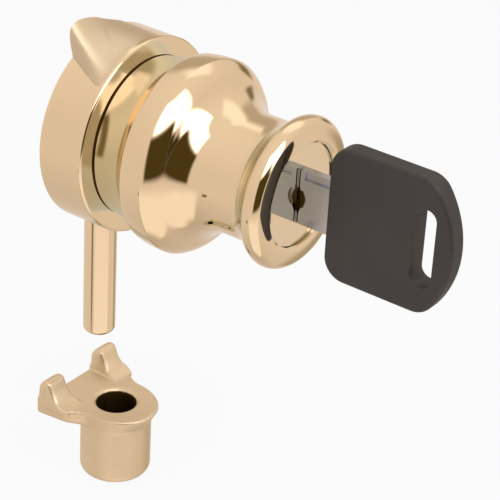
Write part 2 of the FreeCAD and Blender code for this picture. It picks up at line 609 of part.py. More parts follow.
def wafer(number, up):
    """Make one flat wafer with its key window and spring lug; up is 1 or -1."""
    y0 = wafer_y(number)
    edge = "(dims.plug_radius - dims.running_gap)"
    name = "Wafer%d" % number
    disc = rod(name + "Round", edge, "dims.wafer_thickness", "0", y0)
    half = "dims.wafer_width / 2"
    high = "(%s + dims.wafer_thickness)" % y0
    strip = block(name + "Strip", ("-" + half, y0, "-dims.plug_radius"), (half, high, "dims.plug_radius"))
    plate = doc.addObject("Part::Common", name + "Plate")
    plate.Base = disc
    plate.Tool = strip
    low_lug = "dims.free_gap" if up > 0 else "-dims.free_gap - dims.lug_height"
    high_lug = "dims.free_gap + dims.lug_height" if up > 0 else "-dims.free_gap"
    lug = block(name + "Lug", (half + " - dims.lug_root", y0, low_lug),
                (half + " + dims.lug_reach", high, high_lug))
    side = "(dims.blade_thickness / 2 + 2 * dims.key_gap)"
    near = "(dims.blade_height / 2 + dims.window_slack)"
    far = "(dims.blade_height / 2 + dims.key_gap)"
    below, above = (near, far) if up > 0 else (far, near)
    window = block(name + "Window", ("-" + side, y0, "-" + below), (side, high, above))
    return remove(name, join(name + "Stock", [plate, lug]), [window])


def make_wafers():
    """Make the wafers that spring up and those that spring down."""
    count = int(value("dims.wafer_count"))
    node("upper_wafers", join("UpperWafers", [wafer(number, 1) for number in range(0, count, 2)]))
    node("lower_wafers", join("LowerWafers", [wafer(number, -1) for number in range(1, count, 2)]))


def make_wafer_springs():
    """Make the small springs that push each wafer's lug."""
    springs = []
    across = "(dims.wafer_width / 2 + dims.lug_reach - dims.spring_radius - dims.key_gap)"
    for number in range(int(value("dims.wafer_count"))):
        middle = "(%s + dims.wafer_thickness / 2)" % wafer_y(number)
        low = "-dims.spring_height" if number % 2 == 0 else "dims.seat_gap"
        springs.append(rod("Spring%d" % number, "dims.spring_radius", "dims.spring_height - dims.seat_gap",
                           across, middle, low, "Z"))
    return node("wafer_springs", join("WaferSprings", springs))


def make_key_blade():
    """Make the nickel key blade with its cuts, side grooves, shoulder, ledge and tang."""
    body = new_body("KeyBlade")
    face = "(%s - dims.seat_gap)" % CAP_FRONT
    bow = "(%s - dims.shank_length)" % CAP_FRONT
    end = "%s - dims.tang_length" % bow
    rise = "dims.blade_height / 2"
    step = "dims.shank_height / 2"
    root = "dims.tang_height / 2"
    bevel = "%s - dims.blade_tip_bevel" % BLADE_TIP
    point = "dims.blade_tip_height / 2"
    points = [(end, "-(%s)" % root), (bow, "-(%s)" % root), (bow, "-(%s)" % step),
              (face, "-(%s)" % step), (face, "-(%s)" % rise), (bevel, "-(%s)" % rise),
              (BLADE_TIP, "-(%s)" % point), (BLADE_TIP, point), (bevel, rise)]
    shares = (0.55, 1.0, 0.4, 0.85, 0.6)
    for number in reversed(range(int(value("dims.wafer_count")))):
        middle = "(%s + dims.wafer_thickness / 2)" % wafer_y(number)
        depth = "(dims.cut_depth * %s)" % shares[number % len(shares)]
        slope = "%s * dims.cut_slope" % depth
        points += [("%s + dims.cut_flat / 2 + %s" % (middle, slope), rise),
                   ("%s + dims.cut_flat / 2" % middle, "%s - %s" % (rise, depth)),
                   ("%s - dims.cut_flat / 2" % middle, "%s - %s" % (rise, depth)),
                   ("%s - dims.cut_flat / 2 - %s" % (middle, slope), rise)]
    points += [(face, rise), (face, step), (bow, step), (bow, root), (end, root)]
    sketch = outline(new_sketch(body, "BladeOutline", "YZ_Plane", "-dims.blade_thickness / 2"), points)
    grow(body, "Pad", "Blade", sketch, "dims.blade_thickness")
    half = "dims.blade_groove_height / 2"
    runout = "(%s - dims.groove_runout)" % CAP_FRONT
    past = "%s + dims.overrun" % BLADE_TIP
    for side, offset, lift in (("Left", "-dims.blade_thickness / 2", "-dims.groove_left_drop"),
                               ("Right", "dims.blade_thickness / 2", "dims.groove_right_rise")):
        points = [(past, "%s - %s" % (lift, half)), (past, "%s + %s" % (lift, half)),
                  (runout, "%s + %s" % (lift, half)), (runout, "%s - %s" % (lift, half))]
        groove = outline(new_sketch(body, "Groove" + side, "YZ_Plane", offset), points,
                         {2: ("dims.groove_end_curve", 1)})
        grow(body, "Pocket", "BladeGroove" + side, groove, "dims.blade_groove", side == "Left")
    low = "%s - dims.ledge_height" % step
    back = "%s - dims.ledge_setback" % face
    high = "%s + dims.overrun" % step
    ledge = outline(new_sketch(body, "Ledge", "YZ_Plane", "-dims.blade_thickness / 2"),
                    [(bow, low), (back, low), (back, high), (bow, high)])
    body.Tip = grow(body, "Pocket", "ShankLedge", ledge, "dims.ledge_depth", True)
    return node("key_blade", body)


def make_key_bow():
    """Make the moulded bow with its long slot, rounded corners and a socket for the tang."""
    body = new_body("KeyBow")
    start = "(%s - dims.shank_length)" % CAP_FRONT
    end = "(%s - dims.bow_length)" % start
    half = "(dims.bow_height / 2)"
    tight = "dims.bow_end_corner"
    slope = "((%s - %s) / (dims.bow_end_radius - %s))" % (half, tight, tight)
    level = "sqrt(1 - pow(%s; 2))" % slope
    corner_y = "(%s + dims.bow_end_radius - (dims.bow_end_radius - %s) * %s)" % (end, tight, level)
    meet_y = "%s - %s * %s" % (corner_y, tight, level)
    meet_z = "(%s - %s + %s * %s)" % (half, tight, tight, slope)
    points = [(start, "-%s + dims.bow_corner" % half), (start, "%s - dims.bow_corner" % half),
              ("%s - dims.bow_corner" % start, half), (corner_y, half),
              (meet_y, meet_z), (meet_y, "-" + meet_z), (corner_y, "-" + half),
              ("%s - dims.bow_corner" % start, "-" + half)]
    arcs = {1: ("dims.bow_corner", 1), 3: (tight, 1), 4: ("dims.bow_end_radius", 1), 5: (tight, 1),
            7: ("dims.bow_corner", 1)}
    sketch = new_sketch(body, "BowOutline", "YZ_Plane", "-dims.bow_thickness / 2")
    solid = grow(body, "Pad", "Bow", outline(sketch, points, arcs), "dims.bow_thickness")
    side = value("dims.bow_thickness / 2")
    ease(body, "Fillet", "BowEdges", solid, "dims.bow_edge",
         lambda edge, middle: abs(abs(middle.x) - side) < TOUCH)
    slot = new_sketch(body, "BowSlot", "YZ_Plane", "-dims.bow_thickness / 2 - dims.overrun")
    rounded_slot(slot, "%s + dims.slot_from_end" % end, "0", "dims.slot_width", "dims.slot_height",
                 "dims.slot_corner")
    body.Tip = grow(body, "Pocket", "BowSlotCut", slot, "dims.bow_thickness + 2 * dims.overrun", True)
    side = "dims.blade_thickness / 2"
    tang = block("TangSocket", ("-(%s)" % side, "%s - dims.tang_length" % start, "-dims.tang_height / 2"),
                 (side, "%s + dims.overrun" % start, "dims.tang_height / 2"))
    return node("key_bow", remove("BowFinished", body, [tang]))


def make_cam():
    """Make the cam lever, its drive pin, washer and screw."""
    hub = rod("CamHub", "dims.cam_hub_radius", "dims.cam_thickness", "0", CAM_FRONT)
    tip = rod("CamTip", "dims.cam_tip_radius", "dims.cam_thickness", PIN_X, CAM_FRONT, PIN_Z)
    arm = doc.addObject("Part::Box", "CamArm")
    bind(arm, Length="dims.cam_throw", Width="dims.cam_thickness", Height="2 * dims.cam_tip_radius")
    turn = "dims.cam_start"
    bind(arm, Placement__Rotation__Axis__x="0", Placement__Rotation__Axis__y="1",
         Placement__Rotation__Axis__z="0", Placement__Rotation__Angle="(180 - %s) * 1deg" % turn)
    tilt = "(%s * 1deg)" % turn
    place(arm, "-dims.cam_tip_radius * sin%s" % tilt, CAM_FRONT, "dims.cam_tip_radius * cos%s" % tilt)
    stock = join("CamStock", [hub, tip, arm])
    hole = rod("CamHole", "dims.plug_tail_radius", "dims.cam_thickness", "0", CAM_FRONT)
    flat = "(dims.plug_tail_flats / 2)"
    keep = block("CamHoleFlats", ("-" + flat, CAM_FRONT, "-dims.plug_tail_radius"),
                 (flat, CAM_BACK, "dims.plug_tail_radius"))
    shaped = doc.addObject("Part::Common", "CamHoleShaped")
    shaped.Base = hole
    shaped.Tool = keep
    pin_front = "(%s - dims.bolt_tail_thickness / 2 - dims.free_gap)" % BOLT_Y
    pin_hole = rod("DrivePinHole", "dims.drive_pin_radius", "dims.cam_thickness", PIN_X, CAM_FRONT, PIN_Z)
    node("cam_plate", remove("CamFinished", stock, [shaped, pin_hole]))
    node("cam_drive_pin", rod("DrivePin", "dims.drive_pin_radius", "%s - %s" % (CAM_BACK, pin_front),
                              PIN_X, pin_front, PIN_Z))
    ring_stock = rod("WasherDisc", "dims.washer_radius", "dims.washer_thickness", "0", CAM_BACK)
    ring_hole = rod("WasherHole", "dims.screw_radius + dims.seat_gap", "dims.washer_thickness", "0", CAM_BACK)
    node("cam_washer", remove("WasherFinished", ring_stock, [ring_hole]))
    top = "(%s + dims.washer_thickness)" % CAM_BACK
    head = rod("CamScrewHead", "dims.screw_head_radius", "dims.screw_head_height", "0", top)
    shank = rod("CamScrewShank", "dims.screw_radius", "dims.cam_screw_length", "0",
                "%s - dims.cam_screw_length" % top)
    half = "dims.cam_screw_slot / 2"
    head_end = "%s + dims.screw_head_height" % top
    driver = block("CamScrewSlot",
                   ("-dims.screw_head_radius", "%s - dims.cam_screw_slot_depth" % head_end, "-(%s)" % half),
                   ("dims.screw_head_radius", "%s + dims.overrun" % head_end, half))
    node("cam_screw", remove("CamScrewFinished", join("CamScrewStock", [head, shank]), [driver]))


def make_lock_bolt():
    """Make the drop bolt: a round rod with a flat tail notched for the drive pin."""
    body = new_body("LockBolt")
    place(body, BOLT_X, BOLT_Y)
    top = "(%s + dims.bolt_tail_rise)" % PIN_Z
    radius = "dims.bolt_radius"
    round_end = "dims.bolt_tip_round"
    points = [("0", BOLT_TIP_Z), ("%s - %s" % (radius, round_end), BOLT_TIP_Z),
              (radius, "%s + %s" % (BOLT_TIP_Z, round_end)), (radius, top), ("0", top)]
    profile = outline(new_sketch(body, "BoltProfile", "XZ_Plane"), points, {1: (round_end, 1)})
    spin(body, "BoltRod", profile)
    tail_low = "(%s - dims.bolt_tail_drop)" % PIN_Z
    half = "dims.bolt_tail_thickness / 2"
    far = "%s + dims.overrun" % radius
    above = "%s + dims.overrun" % top
    for side, low, high in (("Front", "-(%s)" % far, "-(%s)" % half), ("Back", half, far)):
        flat = outline(new_sketch(body, "Flat" + side, "YZ_Plane", "-(%s)" % far),
                       [(low, tail_low), (high, tail_low), (high, above), (low, above)])
        grow(body, "Pocket", "TailFlat" + side, flat, "2 * (%s)" % far, True)
    notch_low = "%s - (dims.drive_pin_radius + dims.notch_slack)" % PIN_Z
    notch_high = "%s + (dims.drive_pin_radius + dims.notch_slack)" % PIN_Z
    notch = outline(new_sketch(body, "Notch", "XZ_Plane", "-(%s)" % far),
                    [("-dims.notch_depth", notch_low), (far, notch_low),
                     (far, notch_high), ("-dims.notch_depth", notch_high)])
    body.Tip = grow(body, "Pocket", "PinNotch", notch, "2 * (%s)" % far, True)
    return node("lock_bolt", body)


def make_back_plate():
    """Make the back plate with a hollow spigot for the hole in the glass."""
    body = new_body("BackPlate")
    radius = "%s - dims.seat_gap" % LEDGE_RADIUS
    end = "(-dims.pad_thickness + dims.spigot_length)"
    points = [("dims.spigot_bore", PLATE_FRONT), (radius, PLATE_FRONT), (radius, "-dims.pad_thickness"),
              ("dims.spigot_radius", "-dims.pad_thickness"),
              ("dims.spigot_radius", "%s - dims.spigot_bevel" % end),
              ("dims.spigot_radius - dims.spigot_bevel", end), ("0", end),
              ("0", "%s - dims.spigot_floor" % end), ("dims.spigot_bore", "%s - dims.spigot_floor" % end)]
    spin(body, "PlateTurning", outline(new_sketch(body, "PlateProfile", "XY_Plane"), points))
    hole = new_sketch(body, "PlateHole", "XZ_Plane")
    ring(hole, "dims.small_screw_radius", *on_ring(PLATE_SCREW_PITCH, "dims.plate_screw_start"))
    through = "dims.plate_thickness + dims.pad_thickness + dims.overrun"
    holes = grow(body, "Pocket", "PlateHoles", hole, through, True)
    pattern = round_about(body, "PlateHoleRing", holes, 3)
    back = -value("dims.pad_thickness")
    radius = value("dims.small_screw_radius")
    body.Tip = ease(body, "Chamfer", "PlateSinks", pattern, "dims.small_head_depth",
                    lambda edge, middle: abs(middle.y - back) < TOUCH
                    and abs(getattr(edge.Curve, "Radius", 0) - radius) < TOUCH)
    return node("back_plate", body)


def make_glass_pad():
    """Make the soft pad between the back plate and the glass."""
    front = "-dims.pad_thickness"
    disc = rod("PadDisc", "%s - dims.seat_gap" % LEDGE_RADIUS, "dims.pad_thickness", "0", front)
    hole = rod("PadHole", "dims.spigot_radius + dims.pad_hole_gap", "dims.pad_thickness", "0", front)
    return node("glass_pad", remove("PadFinished", disc, [hole]))


def screw_ring(name, pitch, first, length, face):
    """Make three countersunk screws whose heads are flush with a face and point away from the glass."""
    screws = []
    wide = "dims.small_head_radius"
    half = "dims.small_screw_slot / 2"
    for number in range(3):
        x, z = on_ring(pitch, "(%s + %d)" % (first, 120 * number))
        shank = rod("%sShank%d" % (name, number), "dims.small_screw_radius", length, x, face, z, "-Y")
        head = taper("%sHead%d" % (name, number), "dims.small_head_radius", "dims.small_screw_radius",
                     "dims.small_head_depth", x, face, z, "-Y")
        floor = "%s - dims.small_screw_slot_depth" % face
        slot = block("%sSlot%d" % (name, number),
                     ("%s - %s" % (x, wide), floor, "%s - %s" % (z, half)),
                     ("%s + %s" % (x, wide), "%s + dims.overrun" % face, "%s + %s" % (z, half)))
        stock = join("%sStock%d" % (name, number), [shank, head])
        screws.append(remove("%s%d" % (name, number), stock, [slot]))
    return join(name, screws)


def make_screws():
    """Make the back plate's screws and the knob's screws."""
    node("back_plate_screws", screw_ring("PlateScrew", PLATE_SCREW_PITCH, "dims.plate_screw_start",
                                         "dims.plate_screw_length", "(-dims.pad_thickness)"))
    node("knob_screws", screw_ring("KnobScrew", KNOB_SCREW_PITCH, "0", "dims.knob_screw_length",
                                   WALL_BACK))


def make_strike():
    """Make the floor strike: bored plug, round flange and two prongs with hollow fronts."""
    body = new_body("Strike")
    place(body, BOLT_X, STRIKE_Y, STRIKE_TOP_Z)
    turn = "(dims.strike_waist_turn * 1deg)"
    outer = "(dims.prong_pitch + dims.prong_width) / 2"
    side_x = "dims.strike_radius * cos%s" % turn
    side_y = "-dims.strike_radius * sin%s" % turn
    back = "dims.prong_behind"
    points = [("-(%s)" % side_x, side_y), (side_x, side_y), (outer, back), ("-(%s)" % outer, back)]
    flange = outline(new_sketch(body, "Flange", "XY_Plane"), points, {0: ("dims.strike_radius", 1)})
    solid = grow(body, "Pad", "FlangePlate", flange, "dims.strike_thickness", True)
    solid = ease(body, "Fillet", "FlangeEdges", solid, "dims.strike_edge",
                 lambda edge, middle: abs(middle.z) < TOUCH)
    under = -value("dims.strike_thickness")
    edge_y = value(back)
    ease(body, "Fillet", "FlangeUnderside", solid, "dims.strike_under_round",
         lambda edge, middle: abs(middle.z - under) < TOUCH and middle.y < edge_y - TOUCH)
    sunk = "dims.strike_thickness - dims.overrun / 2"
    stem = ring(new_sketch(body, "Stem", "XY_Plane", "-(%s)" % sunk), "dims.strike_plug_radius")
    solid = grow(body, "Pad", "StemPlug", stem, "dims.strike_plug_length + dims.overrun / 2", True)
    low = -value("dims.strike_thickness + dims.strike_plug_length")
    ease(body, "Fillet", "StemRound", solid, "dims.strike_plug_round",
         lambda edge, middle: abs(middle.z - low) < TOUCH)
    front = "(%s - dims.prong_depth)" % back
    top = "dims.prong_height"
    for side, offset in (("Left", "-(%s)" % outer), ("Right", "%s - dims.prong_width" % outer)):
        points = [("dims.prong_foot", "-dims.prong_root"), (back, "-dims.prong_root"),
                  (back, "%s - dims.prong_peak" % top), ("%s - dims.prong_peak" % back, top),
                  ("%s + dims.prong_lip" % front, top), (front, "%s - dims.prong_lip" % top),
                  ("dims.prong_foot", "0")]
        prong = outline(new_sketch(body, "Prong" + side, "YZ_Plane", offset), points,
                        {5: ("dims.prong_hollow", -1)})
        grow(body, "Pad", side + "Prong", prong, "dims.prong_width")
    bore = ring(new_sketch(body, "Socket", "XY_Plane", top), "dims.strike_bore")
    solid = grow(body, "Pocket", "SocketBore", bore, "%s + dims.strike_bore_depth" % top)
    hole = value("dims.strike_bore")
    body.Tip = ease(body, "Chamfer", "SocketRim", solid, "dims.strike_rim",
                    lambda edge, middle: abs(middle.z) < TOUCH
                    and abs(getattr(edge.Curve, "Radius", 0) - hole) < TOUCH)
    return node("strike", body)


def check_and_write():
    """Refuse a broken object and write each sub-part to its own file."""
    doc.recompute()
    for item in doc.Objects:
        if "Invalid" in item.State or "Error" in item.State:
            raise RuntimeError("%s is in a bad state: %s" % (item.Name, item.State))
    os.makedirs("parts", exist_ok=True)
    for name, item in NODES.items():
        shape = item.Shape
        if shape.isNull() or not shape.isValid() or not shape.Solids:
            raise RuntimeError(name + " has no valid solid")
        shape.exportStep("parts/%s.step" % name)
        box = shape.BoundBox
        limits = (box.XMin, box.XMax, box.YMin, box.YMax, box.ZMin, box.ZMax)
        print("%-18s solids %d volume %9.2f" % (name, len(shape.Solids), shape.Volume),
              " ".join("%.2f" % limit for limit in limits))


make_lock_case()
make_back_plate()
make_glass_pad()
make_knob_shell()
make_barrel()
make_barrel_pin()
make_screws()
make_plug_body()
make_plug_cap()
make_plug_clip()
make_wafers()
make_wafer_springs()
make_key_blade()
make_key_bow()
make_cam()
make_lock_bolt()
make_strike()
check_and_write()
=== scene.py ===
import json
import logging
import math
from dataclasses import dataclass, field
from enum import Enum
from typing import Sequence

import bmesh
import bpy
from mathutils import Matrix, Vector


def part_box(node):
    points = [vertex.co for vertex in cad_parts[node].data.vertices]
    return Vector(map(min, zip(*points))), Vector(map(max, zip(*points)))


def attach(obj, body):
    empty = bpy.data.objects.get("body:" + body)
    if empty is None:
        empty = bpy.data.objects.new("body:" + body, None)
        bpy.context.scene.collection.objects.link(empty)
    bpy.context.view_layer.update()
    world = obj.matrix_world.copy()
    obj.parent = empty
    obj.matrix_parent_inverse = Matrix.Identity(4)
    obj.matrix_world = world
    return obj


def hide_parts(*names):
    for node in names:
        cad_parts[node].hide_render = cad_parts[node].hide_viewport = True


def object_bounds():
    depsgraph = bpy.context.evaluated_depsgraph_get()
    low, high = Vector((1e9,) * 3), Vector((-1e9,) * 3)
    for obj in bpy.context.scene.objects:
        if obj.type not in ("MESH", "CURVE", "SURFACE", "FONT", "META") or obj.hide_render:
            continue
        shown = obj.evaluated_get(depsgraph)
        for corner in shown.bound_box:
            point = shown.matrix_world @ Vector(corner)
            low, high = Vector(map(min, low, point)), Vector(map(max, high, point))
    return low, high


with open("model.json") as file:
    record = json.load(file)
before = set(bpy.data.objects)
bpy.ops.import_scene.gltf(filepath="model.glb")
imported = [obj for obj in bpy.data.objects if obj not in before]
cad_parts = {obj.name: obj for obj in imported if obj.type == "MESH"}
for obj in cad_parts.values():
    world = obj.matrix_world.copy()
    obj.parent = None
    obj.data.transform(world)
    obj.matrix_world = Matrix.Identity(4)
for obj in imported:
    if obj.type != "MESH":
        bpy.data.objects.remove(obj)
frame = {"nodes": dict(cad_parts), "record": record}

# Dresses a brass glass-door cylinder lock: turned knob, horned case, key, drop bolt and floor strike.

LOG = logging.getLogger("glass_door_lock")
CAD_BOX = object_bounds()
MM = 0.001
WHITE = (1.0, 1.0, 1.0, 1.0)

Colour = tuple[float, float, float]
Point = tuple[float, float, float]
Pair = tuple[float, float]
Materials = dict[str, bpy.types.Material]
Node = bpy.types.Node
Socket = bpy.types.NodeSocket


class Spread(Enum):
    """How the highlights of a metal spread."""

    MIRROR = 0.035
    BRIGHT = 0.14
    SATIN = 0.3
    SOFT = 0.42
    DULL = 0.5


def add_object(name: str, mesh: bpy.types.Mesh) -> bpy.types.Object:
    """Put a mesh into the scene.

    Args:
        name: the object's name.
        mesh: its mesh.

    Returns:
        The new object.
    """
    made = bpy.data.objects.new(name, mesh)
    bpy.context.scene.collection.objects.link(made)
    return made


class Tree:
    """A short way to add and join nodes in one node tree."""

    def __init__(self, tree: bpy.types.NodeTree) -> None:
        """Keep the tree and clear it.

        Args:
            tree: the material's, world's or group's own node tree.
        """
        self.owner = tree
        tree.nodes.clear()

    def add(self, kind: str, inputs: dict[str, object] | None = None, **settings: object) -> Node:
        """Add a node, set its properties and fill or join its inputs.

        Args:
            kind: the node's type name.
            inputs: values or sockets by input name.
            settings: properties of the node itself.

        Returns:
            The new node.
        """
        node = self.owner.nodes.new(kind)
        for name, setting in settings.items():
            setattr(node, name, setting)
        for name, content in (inputs or {}).items():
            target = node.inputs[int(name)] if name.isdigit() else node.inputs[name]
            if isinstance(content, Socket):
                self.join(content, target)
            else:
                target.default_value = content
        return node

    def join(self, source: Socket, target: Socket) -> None:
        """Join an output to an input."""
        self.owner.links.new(source, target)

    def math(self, operation: str, first: object, second: object = 0.0, clamp: bool = False) -> Socket:
        """Join two numbers by an operation and return the result's socket."""
        node = self.add("ShaderNodeMath", {"0": first, "1": second}, operation=operation, use_clamp=clamp)
        return node.outputs[0]

    def scale_add(self, value: Socket, factor: float, offset: float) -> Socket:
        """Multiply a number by a factor, add an offset and return the result's socket."""
        node = self.add("ShaderNodeMath", {"0": value, "1": factor, "2": offset}, operation="MULTIPLY_ADD")
        return node.outputs[0]

    def ramp(self, factor: Socket, stops: Sequence[Pair], tint: Colour = (1.0, 1.0, 1.0)) -> Socket:
        """Map a number through stops of one tint.

        Args:
            factor: the number to map.
            stops: pairs of place and level.
            tint: the colour of a level of 1.

        Returns:
            The mapped colour's socket.
        """
        node = self.add("ShaderNodeValToRGB", {"Fac": factor})
        points = node.color_ramp.elements
        while len(points) < len(stops):
            points.new(0.5)
        for point, (place, level) in zip(points, stops):
            point.position = place
            point.color = (*(level * part for part in tint), 1.0)
        return node.outputs["Color"]

    def mix(self, factor: object, first: object, second: object) -> Socket:
        """Mix two colours by a factor and return the result's socket."""
        node = self.add("ShaderNodeMix", {"0": factor, "6": first, "7": second}, data_type="RGBA")
        return node.outputs[2]


def new_group(name: str, inputs: dict[str, float], outputs: Sequence[str]) -> tuple[Tree, Node, Node]:
    """Start a shader node group with number inputs and number outputs.

    Args:
        name: the group's name.
        inputs: default values by input name.
        outputs: the names of the outputs.

    Returns:
        The tree, its input node and its output node.
    """
    group = bpy.data.node_groups.new(name, "ShaderNodeTree")
    for label, default in inputs.items():
        socket = group.interface.new_socket(label, in_out="INPUT", socket_type="NodeSocketFloat")
        socket.default_value = default
    for label in outputs:
        group.interface.new_socket(label, in_out="OUTPUT", socket_type="NodeSocketFloat")
    tree = Tree(group)
    return tree, tree.add("NodeGroupInput"), tree.add("NodeGroupOutput")


def handling_group() -> bpy.types.NodeTree:
    """Build the group for soft smudges and fine hairlines left by handling.

    Returns:
        A group with Haze and Hairlines outputs, both from 0 to 1.
    """
    tree, given, result = new_group("handling_marks", {"Scale": 60.0, "Stretch": 9.0}, ("Haze", "Hairlines"))
    place = tree.add("ShaderNodeTexCoord").outputs["Object"]
    haze = tree.add("ShaderNodeTexNoise", {"Vector": place, "Scale": given.outputs["Scale"], "Detail": 4.0,
                                           "Roughness": 0.55})
    soft = tree.ramp(haze.outputs[0], ((0.38, 0.0), (0.72, 1.0)))
    tree.join(soft, result.inputs["Haze"])
    wide = tree.math("MULTIPLY", given.outputs["Scale"], given.outputs["Stretch"])
    squeeze = tree.add("ShaderNodeCombineXYZ", {"X": wide, "Y": given.outputs["Scale"], "Z": wide})
    streaked = tree.add("ShaderNodeVectorMath", {"0": place, "1": squeeze.outputs[0]}, operation="MULTIPLY")
    lines = tree.add("ShaderNodeTexNoise", {"Vector": streaked.outputs[0], "Scale": 1.0, "Detail": 2.0,
                                            "Roughness": 0.7})
    thin = tree.ramp(lines.outputs[0], ((0.55, 0.0), (0.75, 1.0)))
    tree.join(thin, result.inputs["Hairlines"])
    return tree.owner


def edge_group() -> bpy.types.NodeTree:
    """Build the group that finds worn outer edges, and inner corners for painted shade.

    Returns:
        A group with two outputs from 0 to 1: Worn for outer edges, and the mask of inner corners for painted
            shade.
    """
    tree, given, result = new_group("edge_wear", {"Width": 0.08, "Break": 220.0}, ("Worn", "Painted Shade"))
    bend = tree.add("ShaderNodeNewGeometry").outputs["Pointiness"]
    place = tree.add("ShaderNodeTexCoord").outputs["Object"]
    broken = tree.add("ShaderNodeTexNoise", {"Vector": place, "Scale": given.outputs["Break"], "Detail": 3.0})
    outer = tree.math("SUBTRACT", bend, 0.5)
    outer = tree.math("DIVIDE", outer, given.outputs["Width"], clamp=True)
    outer = tree.math("MULTIPLY", outer, broken.outputs[0], clamp=True)
    # Inner corners: the mask for painted shade, stronger where the surface folds in.
    inner = tree.math("SUBTRACT", 0.5, bend)
    inner = tree.math("DIVIDE", inner, given.outputs["Width"], clamp=True)
    tree.join(outer, result.inputs["Worn"])
    tree.join(inner, result.inputs["Painted Shade"])
    return tree.owner


def grain_group() -> bpy.types.NodeTree:
    """Build the group for the fine pebbled grain of moulded plastic and rubber.

    Returns:
        A group with Height and Tone outputs.
    """
    tree, given, result = new_group("moulded_grain", {"Scale": 3200.0, "Cloud": 90.0}, ("Height", "Tone"))
    place = tree.add("ShaderNodeTexCoord").outputs["Object"]
    pebbles = tree.add("ShaderNodeTexVoronoi", {"Vector": place, "Scale": given.outputs["Scale"]})
    fine = tree.add("ShaderNodeTexNoise", {"Vector": place, "Scale": given.outputs["Scale"], "Detail": 3.0})
    height = tree.math("ADD", pebbles.outputs["Distance"], fine.outputs[0])
    cloud = tree.add("ShaderNodeTexNoise", {"Vector": place, "Scale": given.outputs["Cloud"], "Detail": 4.0})
    tree.join(height, result.inputs["Height"])
    tree.join(cloud.outputs[0], result.inputs["Tone"])
    return tree.owner


@dataclass(frozen=True)
class Groups:
    """The shared effects, each built once."""

    handling: bpy.types.NodeTree = field(default_factory=handling_group)
    edges: bpy.types.NodeTree = field(default_factory=edge_group)
    grain: bpy.types.NodeTree = field(default_factory=grain_group)


@dataclass(frozen=True)
class MetalFinish:
    """A bare or plated metal with smudges, hairlines, edge wear and painted shade in its inner corners."""

    name: str
    colour: Colour
    shade: Colour
    worn: Colour
    spread: Spread
    haze: float = 0.05
    hairline: float = 0.02
    bump: float = 0.02
    bump_depth: float = 0.00002
    mark_scale: float = 60.0
    edge_width: float = 0.08
    haze_tint: float = 0.35
    corner_shade_share: float = 0.5
    edge_tint: float = 0.6

    def build(self, groups: Groups) -> bpy.types.Material:
        """Make the material.

        Args:
            groups: the shared effects.

        Returns:
            The finished material.
        """
        material = bpy.data.materials.new(self.name)
        material.use_nodes = True
        tree = Tree(material.node_tree)
        marks = tree.add("ShaderNodeGroup", {"Scale": self.mark_scale}, node_tree=groups.handling)
        edges = tree.add("ShaderNodeGroup", {"Width": self.edge_width}, node_tree=groups.edges)
        smudged = tree.math("MULTIPLY", marks.outputs["Haze"], self.haze_tint)
        colour = tree.mix(smudged, (*self.colour, 1), (*self.shade, 1))
        # Painted shade: inner corners are darkened towards the shade colour.
        painted_corner_shade = tree.math("MULTIPLY", edges.outputs["Painted Shade"], self.corner_shade_share)
        colour = tree.mix(painted_corner_shade, colour, (*self.shade, 1))
        rubbed = tree.math("MULTIPLY", edges.outputs["Worn"], self.edge_tint)
        colour = tree.mix(rubbed, colour, (*self.worn, 1))
        rough = tree.scale_add(marks.outputs["Haze"], self.haze, self.spread.value)
        lined = tree.math("MULTIPLY", marks.outputs["Hairlines"], self.hairline)
        rough = tree.math("ADD", rough, lined)
        bump = tree.add("ShaderNodeBump", {"Strength": self.bump, "Distance": self.bump_depth,
                                           "Height": marks.outputs["Hairlines"]})
        shader = tree.add("ShaderNodeBsdfPrincipled", {"Base Color": colour, "Roughness": rough,
                                                       "Normal": bump.outputs[0], "Metallic": 1.0})
        tree.add("ShaderNodeOutputMaterial", {"Surface": shader.outputs[0]})
        return material


@dataclass(frozen=True)
class MouldedFinish:
    """A moulded plastic or rubber with fine grain and a slight sheen."""

    name: str
    colour: Colour
    pale: Colour
    roughness: float
    bump: float
    grain: float = 3200.0
    bump_depth: float = 0.00003
    haze: float = 0.12
    mark_scale: float = 60.0
    edge_width: float = 0.08
    edge_tint: float = 0.35
    sheen: float = 0.5

    def build(self, groups: Groups) -> bpy.types.Material:
        """Make the material.

        Args:
            groups: the shared effects.

        Returns:
            The finished material.
        """
        material = bpy.data.materials.new(self.name)
        material.use_nodes = True
        tree = Tree(material.node_tree)
        grain = tree.add("ShaderNodeGroup", {"Scale": self.grain}, node_tree=groups.grain)
        edges = tree.add("ShaderNodeGroup", {"Width": self.edge_width}, node_tree=groups.edges)
        marks = tree.add("ShaderNodeGroup", {"Scale": self.mark_scale}, node_tree=groups.handling)
        cloudy = tree.mix(grain.outputs["Tone"], (*self.colour, 1), (*self.pale, 1))
        rubbed = tree.math("MULTIPLY", edges.outputs["Worn"], self.edge_tint)
        colour = tree.mix(rubbed, cloudy, (*self.pale, 1))
        rough = tree.scale_add(marks.outputs["Haze"], self.haze, self.roughness)
        bump = tree.add("ShaderNodeBump", {"Strength": self.bump, "Distance": self.bump_depth,
                                           "Height": grain.outputs["Height"]})
        shader = tree.add("ShaderNodeBsdfPrincipled", {"Base Color": colour, "Roughness": rough,
                                                       "Normal": bump.outputs[0],
                                                       "Specular IOR Level": self.sheen})
        tree.add("ShaderNodeOutputMaterial", {"Surface": shader.outputs[0]})
        return material


